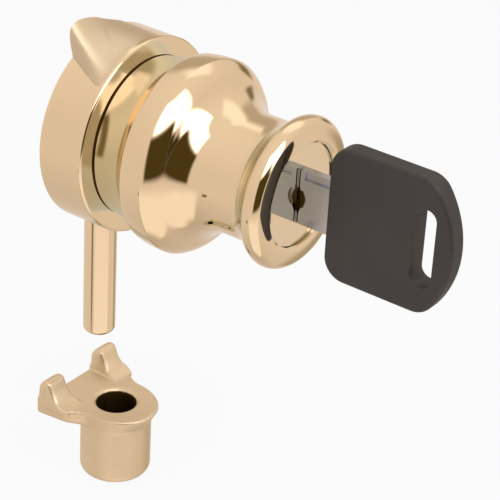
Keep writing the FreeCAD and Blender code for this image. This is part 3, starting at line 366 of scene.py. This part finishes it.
FINISHES = (
    MetalFinish("polished_brass", (0.87, 0.69, 0.46), (0.83, 0.64, 0.41), (0.92, 0.76, 0.56),
                Spread.MIRROR),
    MetalFinish("satin_brass", (0.84, 0.67, 0.46), (0.77, 0.60, 0.39), (0.90, 0.75, 0.56), Spread.SOFT,
                haze=0.10, hairline=0.05, bump=0.05),
    MetalFinish("cast_brass", (0.74, 0.60, 0.42), (0.68, 0.54, 0.36), (0.82, 0.70, 0.51), Spread.SOFT,
                haze=0.08, hairline=0.04, bump=0.04),
    # Dark brass that stands in for shade: painted shade in the knob's seam on the case, the key's slit and
    # eye, and the strike's socket.
    MetalFinish("painted_shade_brass", (0.13, 0.075, 0.022), (0.08, 0.045, 0.012), (0.18, 0.11, 0.05), Spread.DULL,
                haze=0.2, hairline=0.1, bump=0.1),
    MetalFinish("plain_brass", (0.75, 0.55, 0.27), (0.52, 0.36, 0.16), (0.85, 0.68, 0.40), Spread.SATIN,
                haze=0.12, hairline=0.12, bump=0.15),
    MetalFinish("zinc_plate", (0.60, 0.62, 0.65), (0.42, 0.43, 0.45), (0.75, 0.76, 0.78), Spread.SATIN,
                haze=0.15, hairline=0.08, bump=0.1),
    MetalFinish("steel", (0.56, 0.56, 0.57), (0.36, 0.36, 0.37), (0.72, 0.72, 0.73), Spread.BRIGHT,
                haze=0.15, hairline=0.1, bump=0.1),
    MetalFinish("nickel", (0.56, 0.54, 0.57), (0.42, 0.40, 0.42), (0.72, 0.70, 0.72), Spread.SATIN,
                haze=0.12, hairline=0.12, bump=0.12),
    MouldedFinish("rubber_pad", (0.02, 0.02, 0.02), (0.05, 0.05, 0.05), roughness=0.7, bump=0.3,
                  grain=1800.0),
    MouldedFinish("black_plastic", (0.030, 0.024, 0.022), (0.045, 0.037, 0.034), roughness=0.42, bump=0.16),
)


@dataclass
class PhotoCamera:
    """The camera that the photograph's circles give, in the row frame."""

    turn: float = -54.75
    rise: float = 29.34
    roll: float = 3.31
    focal_pixels: float = 2000.0
    distance: float = 380.4
    across: float = 19.42
    up: float = -21.82
    case_depth: float = 10.0
    frame_pixels: float = 500.0
    sensor: float = 36.0
    nearest: float = 10.0

    def build(self) -> None:
        """Make the camera and set it as the scene's."""
        turn, rise, roll = (math.radians(angle) for angle in (self.turn, self.rise, self.roll))
        back = Vector((math.sin(turn) * math.cos(rise), -math.cos(turn) * math.cos(rise), math.sin(rise)))
        level = Vector((math.cos(turn), math.sin(turn), 0.0))
        upright = back.cross(level)
        right = math.cos(roll) * level + math.sin(roll) * upright
        top = -math.sin(roll) * level + math.cos(roll) * upright
        place = back * self.distance + right * self.across + top * self.up
        place.y -= self.case_depth
        data = bpy.data.cameras.new("photo_camera")
        data.sensor_width = self.sensor
        data.lens = self.focal_pixels / self.frame_pixels * self.sensor
        data.clip_start = self.nearest * MM
        camera = bpy.data.objects.new("photo_camera", data)
        bpy.context.scene.collection.objects.link(camera)
        turned = Matrix((right, top, back)).transposed().to_4x4()
        camera.matrix_world = Matrix.Translation(place * MM) @ turned
        bpy.context.scene.camera = camera


def patch_group() -> bpy.types.NodeTree:
    """Build the group that marks one soft-edged patch of the surround.

    Returns:
        A group whose Mask output is 1 inside the patch and 0 outside.
    """
    inputs = {"Turn": 0.0, "Rise": 0.0, "Turn Centre": 0.0, "Rise Centre": 0.0,
              "Turn Half": 10.0, "Rise Half": 10.0, "Soft": 3.0}
    tree, given, result = new_group("surround_patch", inputs, ("Mask",))
    masks = []
    for way in ("Turn", "Rise"):
        away = tree.math("SUBTRACT", given.outputs[way], given.outputs[way + " Centre"])
        away = tree.math("ABSOLUTE", away)
        inner = tree.math("SUBTRACT", given.outputs[way + " Half"], given.outputs["Soft"])
        outer = tree.math("ADD", given.outputs[way + " Half"], given.outputs["Soft"])
        fade = tree.add("ShaderNodeMapRange", {"Value": away, "From Min": inner, "From Max": outer,
                                               "To Min": 1.0, "To Max": 0.0}, interpolation_type="SMOOTHSTEP")
        masks.append(fade.outputs[0])
    tree.join(tree.math("MULTIPLY", masks[0], masks[1]), result.inputs["Mask"])
    return tree.owner


@dataclass(frozen=True)
class Patch:
    """One soft-edged patch of the surround, placed by turn and rise in degrees."""

    name: str
    turn: float
    rise: float
    turn_half: float
    rise_half: float
    soft: float
    colour: Colour

    def lay(self, tree: Tree, group: bpy.types.NodeTree, way: tuple[Socket, Socket], under: Socket) -> Socket:
        """Lay the patch over a colour of the surround.

        Args:
            tree: the world's tree.
            group: the group that marks a patch.
            way: the sockets of the turn and the rise that are looked along.
            under: the colour under the patch.

        Returns:
            The patched colour's socket.
        """
        turn, rise = way
        mask = tree.add("ShaderNodeGroup", {"Turn": turn, "Rise": rise, "Turn Centre": self.turn,
                                            "Rise Centre": self.rise, "Turn Half": self.turn_half,
                                            "Rise Half": self.rise_half, "Soft": self.soft},
                        node_tree=group, label=self.name)
        return tree.mix(mask.outputs[0], under, (*self.colour, 1))


@dataclass(frozen=True)
class Softbox:
    """A square lamp that lights matt surfaces only, with its places and side in millimetres."""

    name: str
    place: Point
    target: Point
    side: float
    watts: float

    def hang(self) -> None:
        """Hang the lamp in its place, turned to its target."""
        data = bpy.data.lights.new(self.name, "AREA")
        data.shape = "SQUARE"
        data.size = self.side * MM
        data.energy = self.watts
        lamp = bpy.data.objects.new(self.name, data)
        bpy.context.scene.collection.objects.link(lamp)
        start = Vector(self.place) * MM
        aim = Vector(self.target) * MM - start
        lamp.matrix_world = Matrix.Translation(start) @ aim.to_track_quat("-Z", "Y").to_matrix().to_4x4()
        lamp.visible_glossy = False


@dataclass
class Studio:
    """The pale floor, the surround that polished metal mirrors, and the soft lamps."""

    floor_gap: float = 0.5
    floor_half: float = 900.0
    floor_colour: Colour = (0.86, 0.86, 0.86)
    floor_glow: float = 0.9
    matt_level: float = 0.62
    twice_depth: float = 2.5
    sky: tuple[Pair, ...] = ((0.0, 0.58), (0.22, 0.72), (0.36, 0.82), (0.55, 0.82), (0.8, 0.92), (1.0, 0.96))
    sky_tint: Colour = (1.0, 0.90, 0.82)
    inner_sky: tuple[Pair, ...] = ((0.2, 0.68), (0.42, 0.78), (0.55, 0.98), (0.68, 0.92), (0.85, 0.62))
    inner_tint: Colour = (0.90, 1.04, 1.2)
    inner_patches: tuple[Patch, ...] = (
        Patch("left dusk", -66.0, 8.0, 13.0, 42.0, 5.0, (0.50, 0.52, 0.50)),
        Patch("right dusk", 46.0, 45.0, 18.0, 28.0, 6.0, (0.52, 0.55, 0.53)),
        Patch("high glow", -20.0, 48.0, 40.0, 18.0, 4.0, (1.40, 1.52, 1.75)),
        Patch("right glow", 18.0, 28.0, 10.0, 10.0, 4.0, (1.15, 1.25, 1.45)),
        Patch("collar shade", -38.0, 4.0, 5.5, 22.0, 3.5, (0.22, 0.20, 0.12)),
    )
    patches: tuple[Patch, ...] = (
        Patch("warm floor", -40.0, -53.0, 50.0, 26.0, 8.0, (1.08, 0.99, 0.92)),
        Patch("low shade", 76.0, -34.0, 14.0, 18.0, 6.0, (0.45, 0.40, 0.30)),
        Patch("bolt line", -108.0, -29.5, 6.0, 2.4, 1.2, (0.25, 0.19, 0.11)),
        Patch("rear glow", 100.0, 56.0, 44.0, 15.0, 7.0, (1.2, 1.14, 1.08)),
        Patch("left softbox", -34.0, 46.0, 26.0, 16.0, 4.0, (2.7, 2.7, 2.7)),
        Patch("right softbox", 2.0, 38.0, 13.0, 24.0, 4.0, (2.7, 2.7, 2.7)),
        Patch("dark card", -36.0, 5.5, 28.0, 22.0, 4.0, (0.075, 0.052, 0.012)),
        Patch("narrow dark card", -6.0, -2.0, 4.5, 14.0, 3.0, (0.06, 0.04, 0.01)),
        Patch("side shade", 93.0, 2.0, 9.0, 6.0, 4.0, (0.25, 0.20, 0.12)),
        Patch("rear shade", 125.0, 22.0, 26.0, 16.0, 8.0, (0.55, 0.47, 0.38)),
    )
    lamps: tuple[Softbox, ...] = (
        Softbox("top_softbox", (-60.0, -160.0, 330.0), (0.0, -20.0, -20.0), 260.0, 0.35),
        Softbox("left_softbox", (-330.0, -60.0, 120.0), (0.0, -20.0, -20.0), 180.0, 0.12),
    )

    def build(self) -> None:
        """Make the whole studio."""
        self.make_floor()
        self.make_surround()
        for lamp in self.lamps:
            lamp.hang()

    def make_floor(self) -> None:
        """Lay the pale floor under the lowest piece."""
        half = self.floor_half * MM
        low = CAD_BOX[0][2] - self.floor_gap * MM
        mesh = bpy.data.meshes.new("floor")
        corners = [(-half, -half, low), (half, -half, low), (half, half, low), (-half, half, low)]
        mesh.from_pydata(corners, [], [(0, 1, 2, 3)])
        floor = add_object("floor", mesh)
        floor.visible_glossy = False
        material = bpy.data.materials.new("pale_floor")
        material.use_nodes = True
        tree = Tree(material.node_tree)
        path = tree.add("ShaderNodeLightPath")
        matt = tree.add("ShaderNodeBsdfDiffuse", {"Color": (*self.floor_colour, 1)})
        glow = tree.add("ShaderNodeEmission", {"Color": WHITE, "Strength": 1.0})
        lifted = tree.math("MULTIPLY", path.outputs["Is Camera Ray"], self.floor_glow)
        both = tree.add("ShaderNodeMixShader", {"0": lifted, "1": matt.outputs[0], "2": glow.outputs[0]})
        tree.add("ShaderNodeOutputMaterial", {"Surface": both.outputs[0]})
        mesh.materials.append(material)

    def make_surround(self) -> None:
        """Fill the surround: white to the lens, even to matt surfaces, patched for metal to mirror.

        A ray that is mirrored twice, as in the knob's hollow collar, meets a plainer and cooler surround.
        """
        world = bpy.data.worlds.new("surround")
        bpy.context.scene.world = world
        world.use_nodes = True
        tree = Tree(world.node_tree)
        path = tree.add("ShaderNodeLightPath")
        looked = tree.add("ShaderNodeTexCoord").outputs["Generated"]
        way = tree.add("ShaderNodeSeparateXYZ", {"Vector": looked})
        ahead = tree.math("MULTIPLY", way.outputs["Y"], -1.0)
        turn = tree.math("DEGREES", tree.math("ARCTAN2", way.outputs["X"], ahead))
        rise = tree.math("DEGREES", tree.math("ARCSINE", way.outputs["Z"]))
        height = tree.add("ShaderNodeMapRange", {"Value": rise, "From Min": -90.0, "From Max": 90.0})
        group = patch_group()
        outer = tree.ramp(height.outputs[0], self.sky, self.sky_tint)
        for patch in self.patches:
            outer = patch.lay(tree, group, (turn, rise), outer)
        inner = tree.ramp(height.outputs[0], self.inner_sky, self.inner_tint)
        for patch in self.inner_patches:
            inner = patch.lay(tree, group, (turn, rise), inner)
        twice = tree.math("GREATER_THAN", path.outputs["Ray Depth"], self.twice_depth)
        colour = tree.mix(twice, outer, inner)
        matt = tree.add("ShaderNodeBackground", {"Color": WHITE, "Strength": self.matt_level})
        mirrored = tree.add("ShaderNodeBackground", {"Color": colour, "Strength": 1.0})
        white = tree.add("ShaderNodeBackground", {"Color": WHITE, "Strength": 1.0})
        first = tree.add("ShaderNodeMixShader", {"0": path.outputs["Is Glossy Ray"], "1": matt.outputs[0],
                                                 "2": mirrored.outputs[0]})
        second = tree.add("ShaderNodeMixShader", {"0": path.outputs["Is Camera Ray"], "1": first.outputs[0],
                                                  "2": white.outputs[0]})
        tree.add("ShaderNodeOutputWorld", {"Surface": second.outputs[0]})


def slot_of(node: str) -> str:
    """Find the record's material slot of a CAD node.

    Args:
        node: the node's name.

    Returns:
        The slot's name, or steel where the record names none.
    """
    for entry in frame["record"]["subparts"]:
        if entry["node"] == node:
            return entry["material_slot"]
    return "steel"


def dress(piece: bpy.types.Object, material: bpy.types.Material) -> None:
    """Give one object a single material."""
    piece.data.materials.clear()
    piece.data.materials.append(material)


def applied(rough: bpy.types.Object) -> bpy.types.Mesh:
    """Apply an object's modifiers to a mesh of its own, and delete the object.

    Args:
        rough: the object with its modifiers.

    Returns:
        The finished mesh.
    """
    mesh = bpy.data.meshes.new_from_object(rough.evaluated_get(bpy.context.evaluated_depsgraph_get()))
    bpy.data.objects.remove(rough)
    return mesh


def around(radius: float, turn: float, depth: float) -> Vector:
    """Place a point by its radius and its turn about the lock's axis, and its depth."""
    return Vector((radius * math.cos(turn), depth, radius * math.sin(turn)))


class Form:
    """A mesh in the making: points in millimetres, and faces between them."""

    weld: float = 0.002

    def __init__(self) -> None:
        """Start with no points and no faces."""
        self.points: list[Vector] = []
        self.faces: list[tuple[int, ...]] = []

    def sheet(self, rows: Sequence[Sequence[Vector]], closed: bool = False) -> None:
        """Add a grid of quads between rows of points.

        Args:
            rows: the rows, all of one length.
            closed: whether each row's end joins its start.
        """
        first = len(self.points)
        width = len(rows[0])
        for row in rows:
            self.points.extend(row)
        for level in range(len(rows) - 1):
            for step in range(width if closed else width - 1):
                near = first + level * width + step
                far = first + level * width + (step + 1) % width
                self.faces.append((near, far, far + width, near + width))

    def lathe(self, profile: Sequence[Pair], segments: int) -> None:
        """Turn a profile round the lock's axis.

        Args:
            profile: pairs of radius and depth.
            segments: how many flats make up the full turn.
        """
        rows = [[around(radius, math.tau * step / segments, depth) for step in range(segments)]
                for radius, depth in profile]
        self.sheet(rows, closed=True)

    def piece(self, name: str, crease: float = 24.0) -> bpy.types.Object:
        """Make the object, smooth but for its creases.

        Args:
            name: the piece's name.
            crease: the least angle of a sharp edge, in degrees.

        Returns:
            The new object in the scene.
        """
        mesh = bpy.data.meshes.new(name)
        mesh.from_pydata([point * MM for point in self.points], [], self.faces)
        work = bmesh.new()
        work.from_mesh(mesh)
        bmesh.ops.remove_doubles(work, verts=work.verts, dist=self.weld * MM)
        bmesh.ops.recalc_face_normals(work, faces=work.faces)
        work.to_mesh(mesh)
        work.free()
        mesh.shade_smooth()
        mesh.set_sharp_from_angle(angle=math.radians(crease))
        return add_object(name, mesh)


def arc_about(centre: Pair, radius: float, start: float, end: float, steps: int) -> list[Pair]:
    """Give points on an arc between two angles in degrees."""
    turns = (math.radians(start + (end - start) * step / steps) for step in range(steps + 1))
    return [(centre[0] + radius * math.cos(turn), centre[1] + radius * math.sin(turn)) for turn in turns]


def arc_between(start: Pair, end: Pair, radius: float, steps: int) -> list[Pair]:
    """Give points along an arc of a radius between two points.

    Args:
        start: where it starts, as radius and depth.
        end: where it ends.
        radius: its own radius, negative for a hollow arc.
        steps: how many stretches it is cut into.

    Returns:
        The points after the start, up to the end.
    """
    first, last = Vector(start), Vector(end)
    chord = last - first
    side = Vector((chord.y, -chord.x)).normalized()
    rise = math.sqrt(radius ** 2 - chord.length ** 2 / 4)
    centre = (first + last) / 2 + side * math.copysign(rise, radius)
    begin = math.atan2(first.y - centre.y, first.x - centre.x)
    turn = math.atan2(last.y - centre.y, last.x - centre.x) - begin
    turn -= math.tau * round(turn / math.tau)
    size = abs(radius)
    angles = (begin + turn * step / steps for step in range(1, steps + 1))
    return [(centre.x + size * math.cos(angle), centre.y + size * math.sin(angle)) for angle in angles]


@dataclass
class HornedCase:
    """The round case on the glass, with the hollow-flanked horn that grows out of its upper left."""

    node: str = "lock_case"
    body: str = "lock_body"
    edge_round: float = 0.55
    front_flat: float = 1.6
    front_rings: tuple[float, ...] = (16.4, 12.0)
    front_wall: float = 1.2
    cavity: float = 13.4
    tail_hole: float = 3.6
    seat_gap: float = 0.05
    side_steps: int = 12
    edge_steps: int = 10
    segments: int = 240
    back_outline: tuple[Pair, ...] = (
        (-10.3, 16.05), (-10.5, 17.2), (-10.9, 18.9), (-11.2, 20.6), (-11.15, 22.0), (-10.55, 22.95),
        (-9.4, 23.4), (-7.9, 23.4), (-6.2, 23.15), (-4.6, 22.75), (-3.3, 22.3), (-2.2, 21.8), (-0.6, 21.15),
        (1.4, 20.4), (3.4, 19.6), (5.6, 18.4))
    front_turns: tuple[float, ...] = (136.5, 134.6, 132.4, 130.0, 127.6, 125.3, 123.0, 120.7, 118.3, 115.9,
                                      113.6, 111.2, 104.0, 94.0, 84.0, 75.0)
    hollow: float = 1.35
    skin_gap: float = 0.04
    sink: float = 0.6
    sink_depth: float = 0.5
    horn_steps: int = 28
    horn_crease: float = 50.0
    radius: float = field(init=False)
    depth: float = field(init=False)
    recess: float = field(init=False)
    ledge: float = field(init=False)

    def __post_init__(self) -> None:
        """Take the case's outer sizes and the back plate's seat from the frame."""
        low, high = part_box(self.node)
        self.radius = high[0] / MM
        self.depth = -low[1] / MM
        plate_low, plate_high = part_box("back_plate")
        self.recess = plate_high[0] / MM + self.seat_gap
        self.ledge = plate_low[1] / MM

    def build(self, materials: Materials) -> list[bpy.types.Object]:
        """Build the case and its horn, and let them stand for the CAD node.

        Args:
            materials: the finishes by name.

        Returns:
            The drum and the horn.
        """
        drum = self.drum()
        horn = self.horn()
        dress(drum, materials["polished_brass"])
        dress(horn, materials["cast_brass"])
        for piece in (drum, horn):
            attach(piece, self.body)
        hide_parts(self.node)
        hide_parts(self.node)
        return [drum, horn]

    def drum(self) -> bpy.types.Object:
        """Turn the drum: rounded front edge, plate recess, cavity and tail hole.

        Returns:
            The drum.
        """
        edge = self.edge_round
        front = -self.depth
        inside = front + self.front_wall
        flats = (self.radius - self.front_flat, *self.front_rings, self.tail_hole)
        side = range(self.side_steps + 1)
        profile = [(self.radius, step * (front + edge) / self.side_steps) for step in side]
        profile += arc_about((self.radius - edge, front + edge), edge, 0.0, -90.0, self.edge_steps)
        profile += [(flat, front) for flat in flats]
        profile += [(self.tail_hole, inside), (self.cavity, inside), (self.cavity, self.ledge),
                    (self.recess, self.ledge), (self.recess, 0.0), (self.radius, 0.0)]
        form = Form()
        form.lathe(profile, self.segments)
        return form.piece("case_drum")

    def horn(self) -> bpy.types.Object:
        """Shape the horn: its outline on the glass sinks into the drum towards the front ring.

        Returns:
            The horn.
        """
        backs = [(math.hypot(x, z), math.degrees(math.atan2(z, x))) for x, z in self.back_outline]
        fronts = [(self.radius - self.skin_gap, turn) for turn in self.front_turns]
        ends = list(zip(self.smooth(backs), self.smooth(fronts)))
        length = self.depth - self.edge_round
        rows = []
        for level in range(self.horn_steps + 1):
            ahead = level / self.horn_steps
            fall = 1.0 - (1.0 - ahead) ** self.hollow
            row = []
            for (back_radius, back_turn), (front_radius, front_turn) in ends:
                radius = back_radius + (front_radius - back_radius) * fall
                turn = math.radians(back_turn + (front_turn - back_turn) * ahead)
                row.append(around(radius, turn, -ahead * length))
            rows.append(row)
        roots = [self.root(rows[0], self.sink, -self.sink_depth), self.root(rows[0], self.skin_gap, 0.0)]
        form = Form()
        form.sheet(roots + rows)
        return form.piece("case_horn", self.horn_crease)

    def root(self, row: Sequence[Vector], drop: float, depth: float) -> list[Vector]:
        """Bring a row of points down to just under the drum's skin.

        Args:
            row: the horn's outline on the glass.
            drop: how far under the skin, in millimetres.
            depth: how far from the glass, along the lock's axis.

        Returns:
            One point for each of the row's points.
        """
        turns = (math.atan2(point.z, point.x) for point in row)
        radii = (min(self.radius - drop, math.hypot(point.x, point.z)) for point in row)
        return [around(radius, turn, depth) for radius, turn in zip(radii, turns)]

    @staticmethod
    def smooth(pairs: Sequence[Pair], fine: int = 6) -> list[Pair]:
        """Run a smooth curve through pairs of numbers.

        Args:
            pairs: the pairs that the curve passes.
            fine: how many stretches each gap is cut into.

        Returns:
            The finer row of pairs.
        """
        made = []
        last = len(pairs) - 1
        for number in range(last):
            before, start, end, after = (pairs[max(0, min(last, number + shift))] for shift in (-1, 0, 1, 2))
            for step in range(fine):
                part = step / fine
                made.append(tuple(0.5 * (2 * b + (c - a) * part + (2 * a - 5 * b + 4 * c - d) * part ** 2
                                         + (3 * b - a - 3 * c + d) * part ** 3)
                                  for a, b, c, d in zip(before, start, end, after)))
        made.append(tuple(pairs[-1]))
        return made


@dataclass
class TurnedKnob:
    """The knob turned from one bar: hollow collar, band, crease, round belly, waist and beaded lip."""

    node: str = "knob_shell"
    body: str = "lock_body"
    collar_radius: float = 15.9
    collar_length: float = 8.8
    collar_edge: float = 0.35
    collar_hollow: float = 18.0
    band_radius: float = 18.75
    band_curve: float = 19.0
    crease_ahead: float = 13.6
    belly_centre: float = 12.6
    belly_curve: float = 7.3
    belly_ahead: float = 10.3
    waist_radius: float = 11.75
    waist_curve: float = 9.0
    waist_length: float = 3.58
    flare_curve: float = 6.0
    flare_length: float = 4.8
    lip_curve: float = 2.3
    rim_radius: float = 13.5
    rim_drop: float = 0.42
    crest_radius: float = 10.6
    crest_curve: float = 9.5
    face_radius: float = 10.1
    face_edge_drop: float = 0.35
    face_depth: float = 2.45
    bore: float = 9.05
    segments: int = 256
    crease: float = 30.0

    def build(self, materials: Materials) -> list[bpy.types.Object]:
        """Turn the knob and let it stand for the CAD node.

        The narrow chamfer where it meets the case takes the dark brass, as painted shade in the seam.

        Args:
            materials: the finishes by name.

        Returns:
            The knob alone.
        """
        low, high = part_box(self.node)
        foot, end = high[1] / MM, low[1] / MM
        form = Form()
        form.lathe(self.profile(foot, end), self.segments)
        knob = form.piece("turned_knob", self.crease)
        dress(knob, materials["polished_brass"])
        knob.data.materials.append(materials["painted_shade_brass"])
        # Painted shade: the chamfer faces at the collar's foot take the dark brass.
        for face in knob.data.polygons:
            if face.center.y / MM > foot - self.collar_edge:
                face.material_index = 1
        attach(knob, self.body)
        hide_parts(self.node)
        return [knob]

    def profile(self, foot: float, end: float) -> list[Pair]:
        """Work out the turned profile.

        Args:
            foot: the depth of the collar's foot on the case.
            end: the depth of the lip's end.

        Returns:
            Pairs of radius and depth, from the bore over the outside and back to the bore.
        """
        belly_depth = foot - self.belly_ahead
        waist_out = self.waist_radius + self.waist_curve
        both = self.belly_curve + self.waist_curve
        reach = math.sqrt(both ** 2 - (waist_out - self.belly_centre) ** 2)
        share = self.belly_curve / both
        crease_out = math.sqrt(self.belly_curve ** 2 - (self.crease_ahead - self.belly_ahead) ** 2)
        flare_out = self.flare_curve - math.sqrt(self.flare_curve ** 2 - self.flare_length ** 2)
        edge = (self.collar_radius, foot - self.collar_edge)
        band = (self.band_radius, foot - self.collar_length)
        crease = (self.belly_centre + crease_out, foot - self.crease_ahead)
        turn_in = (self.belly_centre + (waist_out - self.belly_centre) * share, belly_depth - reach * share)
        waist = (self.waist_radius, belly_depth - reach)
        flare = (self.waist_radius, waist[1] - self.waist_length)
        lip = (self.waist_radius + flare_out, flare[1] - self.flare_length)
        shoulder = (self.rim_radius, end + self.rim_drop)
        crest = (self.crest_radius, end)
        return [
            (self.bore, foot), (self.collar_radius - self.collar_edge, foot), edge,
            *arc_between(edge, band, -self.collar_hollow, 28),
            *arc_between(band, crease, self.band_curve, 14),
            *arc_between(crease, turn_in, self.belly_curve, 40),
            *arc_between(turn_in, waist, -self.waist_curve, 30),
            flare,
            *arc_between(flare, lip, -self.flare_curve, 24),
            *arc_between(lip, shoulder, self.lip_curve, 36),
            *arc_between(shoulder, crest, self.crest_curve, 14),
            (self.face_radius, end + self.face_edge_drop), (self.face_radius, end + self.face_depth),
            (self.bore, end + self.face_depth), (self.bore, foot),
        ]


@dataclass
class CutKey:
    """The nickel key with its pierced shank and the moulded bow."""

    blade: str = "key_blade"
    bow: str = "key_bow"
    body: str = "key"
    slit_half: float = 0.13
    eye_half: float = 1.15
    eye_height: float = 3.0
    eye_drop: float = 0.5
    slit_ahead: float = 46.05
    slit_depth: float = 0.65
    past_edge: float = 0.4
    past_side: float = 0.5
    steps: int = 40

    def build(self, materials: Materials) -> list[bpy.types.Object]:
        """Cut the eye into the shank, with painted shade on its cut faces, and dress both parts.

        Args:
            materials: the finishes by name.

        Returns:
            The pierced blade and the bow.
        """
        bow = frame["nodes"][self.bow]
        dress(bow, materials["black_plastic"])
        cutter = self.eye()
        # The cutter's dark brass passes to the cut faces: painted shade in the slit and eye.
        dress(cutter, materials["painted_shade_brass"])
        whole = add_object("key_whole", frame["nodes"][self.blade].data.copy())
        dress(whole, materials["nickel"])
        cut = whole.modifiers.new("eye", "BOOLEAN")
        cut.operation = "DIFFERENCE"
        cut.object = cutter
        cut.solver = "EXACT"
        cut.material_mode = "TRANSFER"
        mesh = applied(whole)
        bpy.data.objects.remove(cutter)
        mesh.shade_flat()
        made = add_object("pierced_blade", mesh)
        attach(made, self.body)
        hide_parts(self.blade)
        return [made, bow]

    def eye(self) -> bpy.types.Object:
        """Make the cutter for the slit and its spindle-shaped eye.

        Returns:
            The cutter, which reaches into the blade's left side.
        """
        low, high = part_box(self.blade)
        left = low[0] / MM
        reach = high[2] / MM + self.past_edge
        edge = []
        for step in range(self.steps + 1):
            height = reach - 2 * reach * step / self.steps
            share = min(1.0, abs(height + self.eye_drop) / self.eye_height)
            half = self.slit_half + (self.eye_half - self.slit_half) * math.cos(math.pi / 2 * share) ** 2
            edge.append((half, height))
        outline = [(-self.slit_ahead - half, height) for half, height in edge]
        outline += [(-self.slit_ahead + half, height) for half, height in reversed(edge)]
        sides = (left - self.past_side, left + self.slit_depth)
        form = Form()
        form.sheet([[Vector((x, y, z)) for y, z in outline] for x in sides], closed=True)
        count = len(outline)
        form.faces.append(tuple(range(count)))
        form.faces.append(tuple(range(count, 2 * count)))
        return form.piece("eye_cutter")


@dataclass
class FloorStrike:
    """The cast and polished floor strike, whose edges and inner corners are all softened."""

    node: str = "strike"
    body: str = "strike_plug"
    grain: float = 0.22
    passes: int = 6
    prong_passes: int = 60
    strength: float = 0.5
    prong_height: float = 5.2
    prong_foot: float = 0.9
    flange_radius: float = 9.0
    stem_radius: float = 7.15
    bore_radius: float = 4.35
    bore_edge: float = 0.5
    taper_start: float = 0.5
    taper_height: float = 2.6
    taper_share: float = 0.85
    flush_share: float = 0.8
    rear_start: float = 0.5
    rear_blend: float = 5.5

    def build(self, materials: Materials) -> list[bpy.types.Object]:
        """Recast the strike from its construction with softened edges, and painted shade in its socket.

        Args:
            materials: the finishes by name.

        Returns:
            The strike alone.
        """
        low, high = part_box(self.node)
        top = high[2] / MM - self.prong_height
        axis = Vector(((low[0] + high[0]) / 2 / MM, low[1] / MM + self.flange_radius))
        mesh = self.recast()
        self.soften_prongs(mesh, top)
        self.taper(mesh, top, axis)
        mesh.shade_smooth()
        made = add_object("strike_cast", mesh)
        dress(made, materials["satin_brass"])
        # Painted shade: the socket's faces below the flange's face take the dark brass.
        mesh.materials.append(materials["painted_shade_brass"])
        for face in mesh.polygons:
            middle = face.center / MM
            out = math.hypot(middle.x - axis.x, middle.y - axis.y)
            if out < self.bore_radius and middle.z < top - self.bore_edge:
                face.material_index = 1
        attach(made, self.body)
        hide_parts(self.node)
        return [made]

    def recast(self) -> bpy.types.Mesh:
        """Cover the CAD strike with one skin of small even faces, and soften it.

        Returns:
            The skin, in metres.
        """
        rough = add_object("strike_rough", frame["nodes"][self.node].data.copy())
        skin = rough.modifiers.new("recast", "REMESH")
        skin.mode = "VOXEL"
        skin.voxel_size = self.grain * MM
        soften = rough.modifiers.new("soften", "SMOOTH")
        soften.factor = self.strength
        soften.iterations = self.passes
        return applied(rough)

    def soften_prongs(self, mesh: bpy.types.Mesh, top: float) -> None:
        """Round the prongs' crests and flanks further than the rest.

        Args:
            mesh: the softened mesh, in metres.
            top: the height of the flange's face, in millimetres.
        """
        work = bmesh.new()
        work.from_mesh(mesh)
        raised = [vertex for vertex in work.verts if vertex.co.z / MM > top + self.prong_foot]
        for _ in range(self.prong_passes):
            bmesh.ops.smooth_vert(work, verts=raised, factor=self.strength, use_axis_x=True, use_axis_y=True,
                                  use_axis_z=True)
        work.to_mesh(mesh)
        work.free()

    def taper(self, mesh: bpy.types.Mesh, top: float, axis: Vector) -> None:
        """Blend the flange's front underside into the stem, as a casting's draft does.

        Args:
            mesh: the softened mesh, in metres.
            top: the height of the flange's face, in millimetres.
            axis: the stem's axis from above, in millimetres.
        """
        for vertex in mesh.vertices:
            across, along = vertex.co.x / MM - axis.x, vertex.co.y / MM - axis.y
            height = vertex.co.z / MM
            out = math.hypot(across, along)
            if out <= self.stem_radius:
                continue
            rear = min(1.0, max(0.0, (along - self.rear_start) / self.rear_blend))
            rear = rear * rear * (3.0 - 2.0 * rear)
            nose = 1.0 - self.flush_share * (across / out) ** 2
            below = min(1.0, max(0.0, top - self.taper_start - height) / self.taper_height)
            keep = nose * (1.0 - self.taper_share * below)
            keep += (1.0 - keep) * rear
            scale = (self.stem_radius + (out - self.stem_radius) * keep) / out
            vertex.co.x = (axis.x + across * scale) * MM
            vertex.co.y = (axis.y + along * scale) * MM


@dataclass
class Fitted:
    """A group of pieces that show as their construction gives them, each in its own finish."""

    nodes: tuple[str, ...]

    def build(self, materials: Materials) -> list[bpy.types.Object]:
        """Dress each piece in the finish of its slot.

        Args:
            materials: the finishes by name.

        Returns:
            The dressed pieces.
        """
        for node in self.nodes:
            dress(frame["nodes"][node], materials[slot_of(node)])
        return [frame["nodes"][node] for node in self.nodes]


MOUNTING = Fitted(("back_plate", "glass_pad", "back_plate_screws", "knob_screws"))
BARREL = Fitted(("barrel", "barrel_pin"))
KEY_PLUG = Fitted(("plug_body", "plug_cap", "plug_clip", "wafer_springs", "upper_wafers", "lower_wafers"))
CAM = Fitted(("cam_plate", "cam_drive_pin", "cam_washer", "cam_screw"))
DROP_BOLT = Fitted(("lock_bolt",))


def main() -> None:
    """Build the studio, the camera and every dressed piece, and report each piece."""
    logging.basicConfig(level=logging.INFO)
    bpy.context.scene.view_settings.view_transform = "Standard"
    groups = Groups()
    materials = {finish.name: finish.build(groups) for finish in FINISHES}
    PhotoCamera().build()
    Studio().build()
    fitted = (MOUNTING, BARREL, KEY_PLUG, CAM, DROP_BOLT)
    for part in (*fitted, HornedCase(), TurnedKnob(), CutKey(), FloorStrike()):
        for piece in part.build(materials):
            mesh = piece.data
            LOG.info("%s: %d faces in %s", piece.name, len(mesh.polygons), mesh.materials[0].name)


if __name__ == "__main__":
    main()
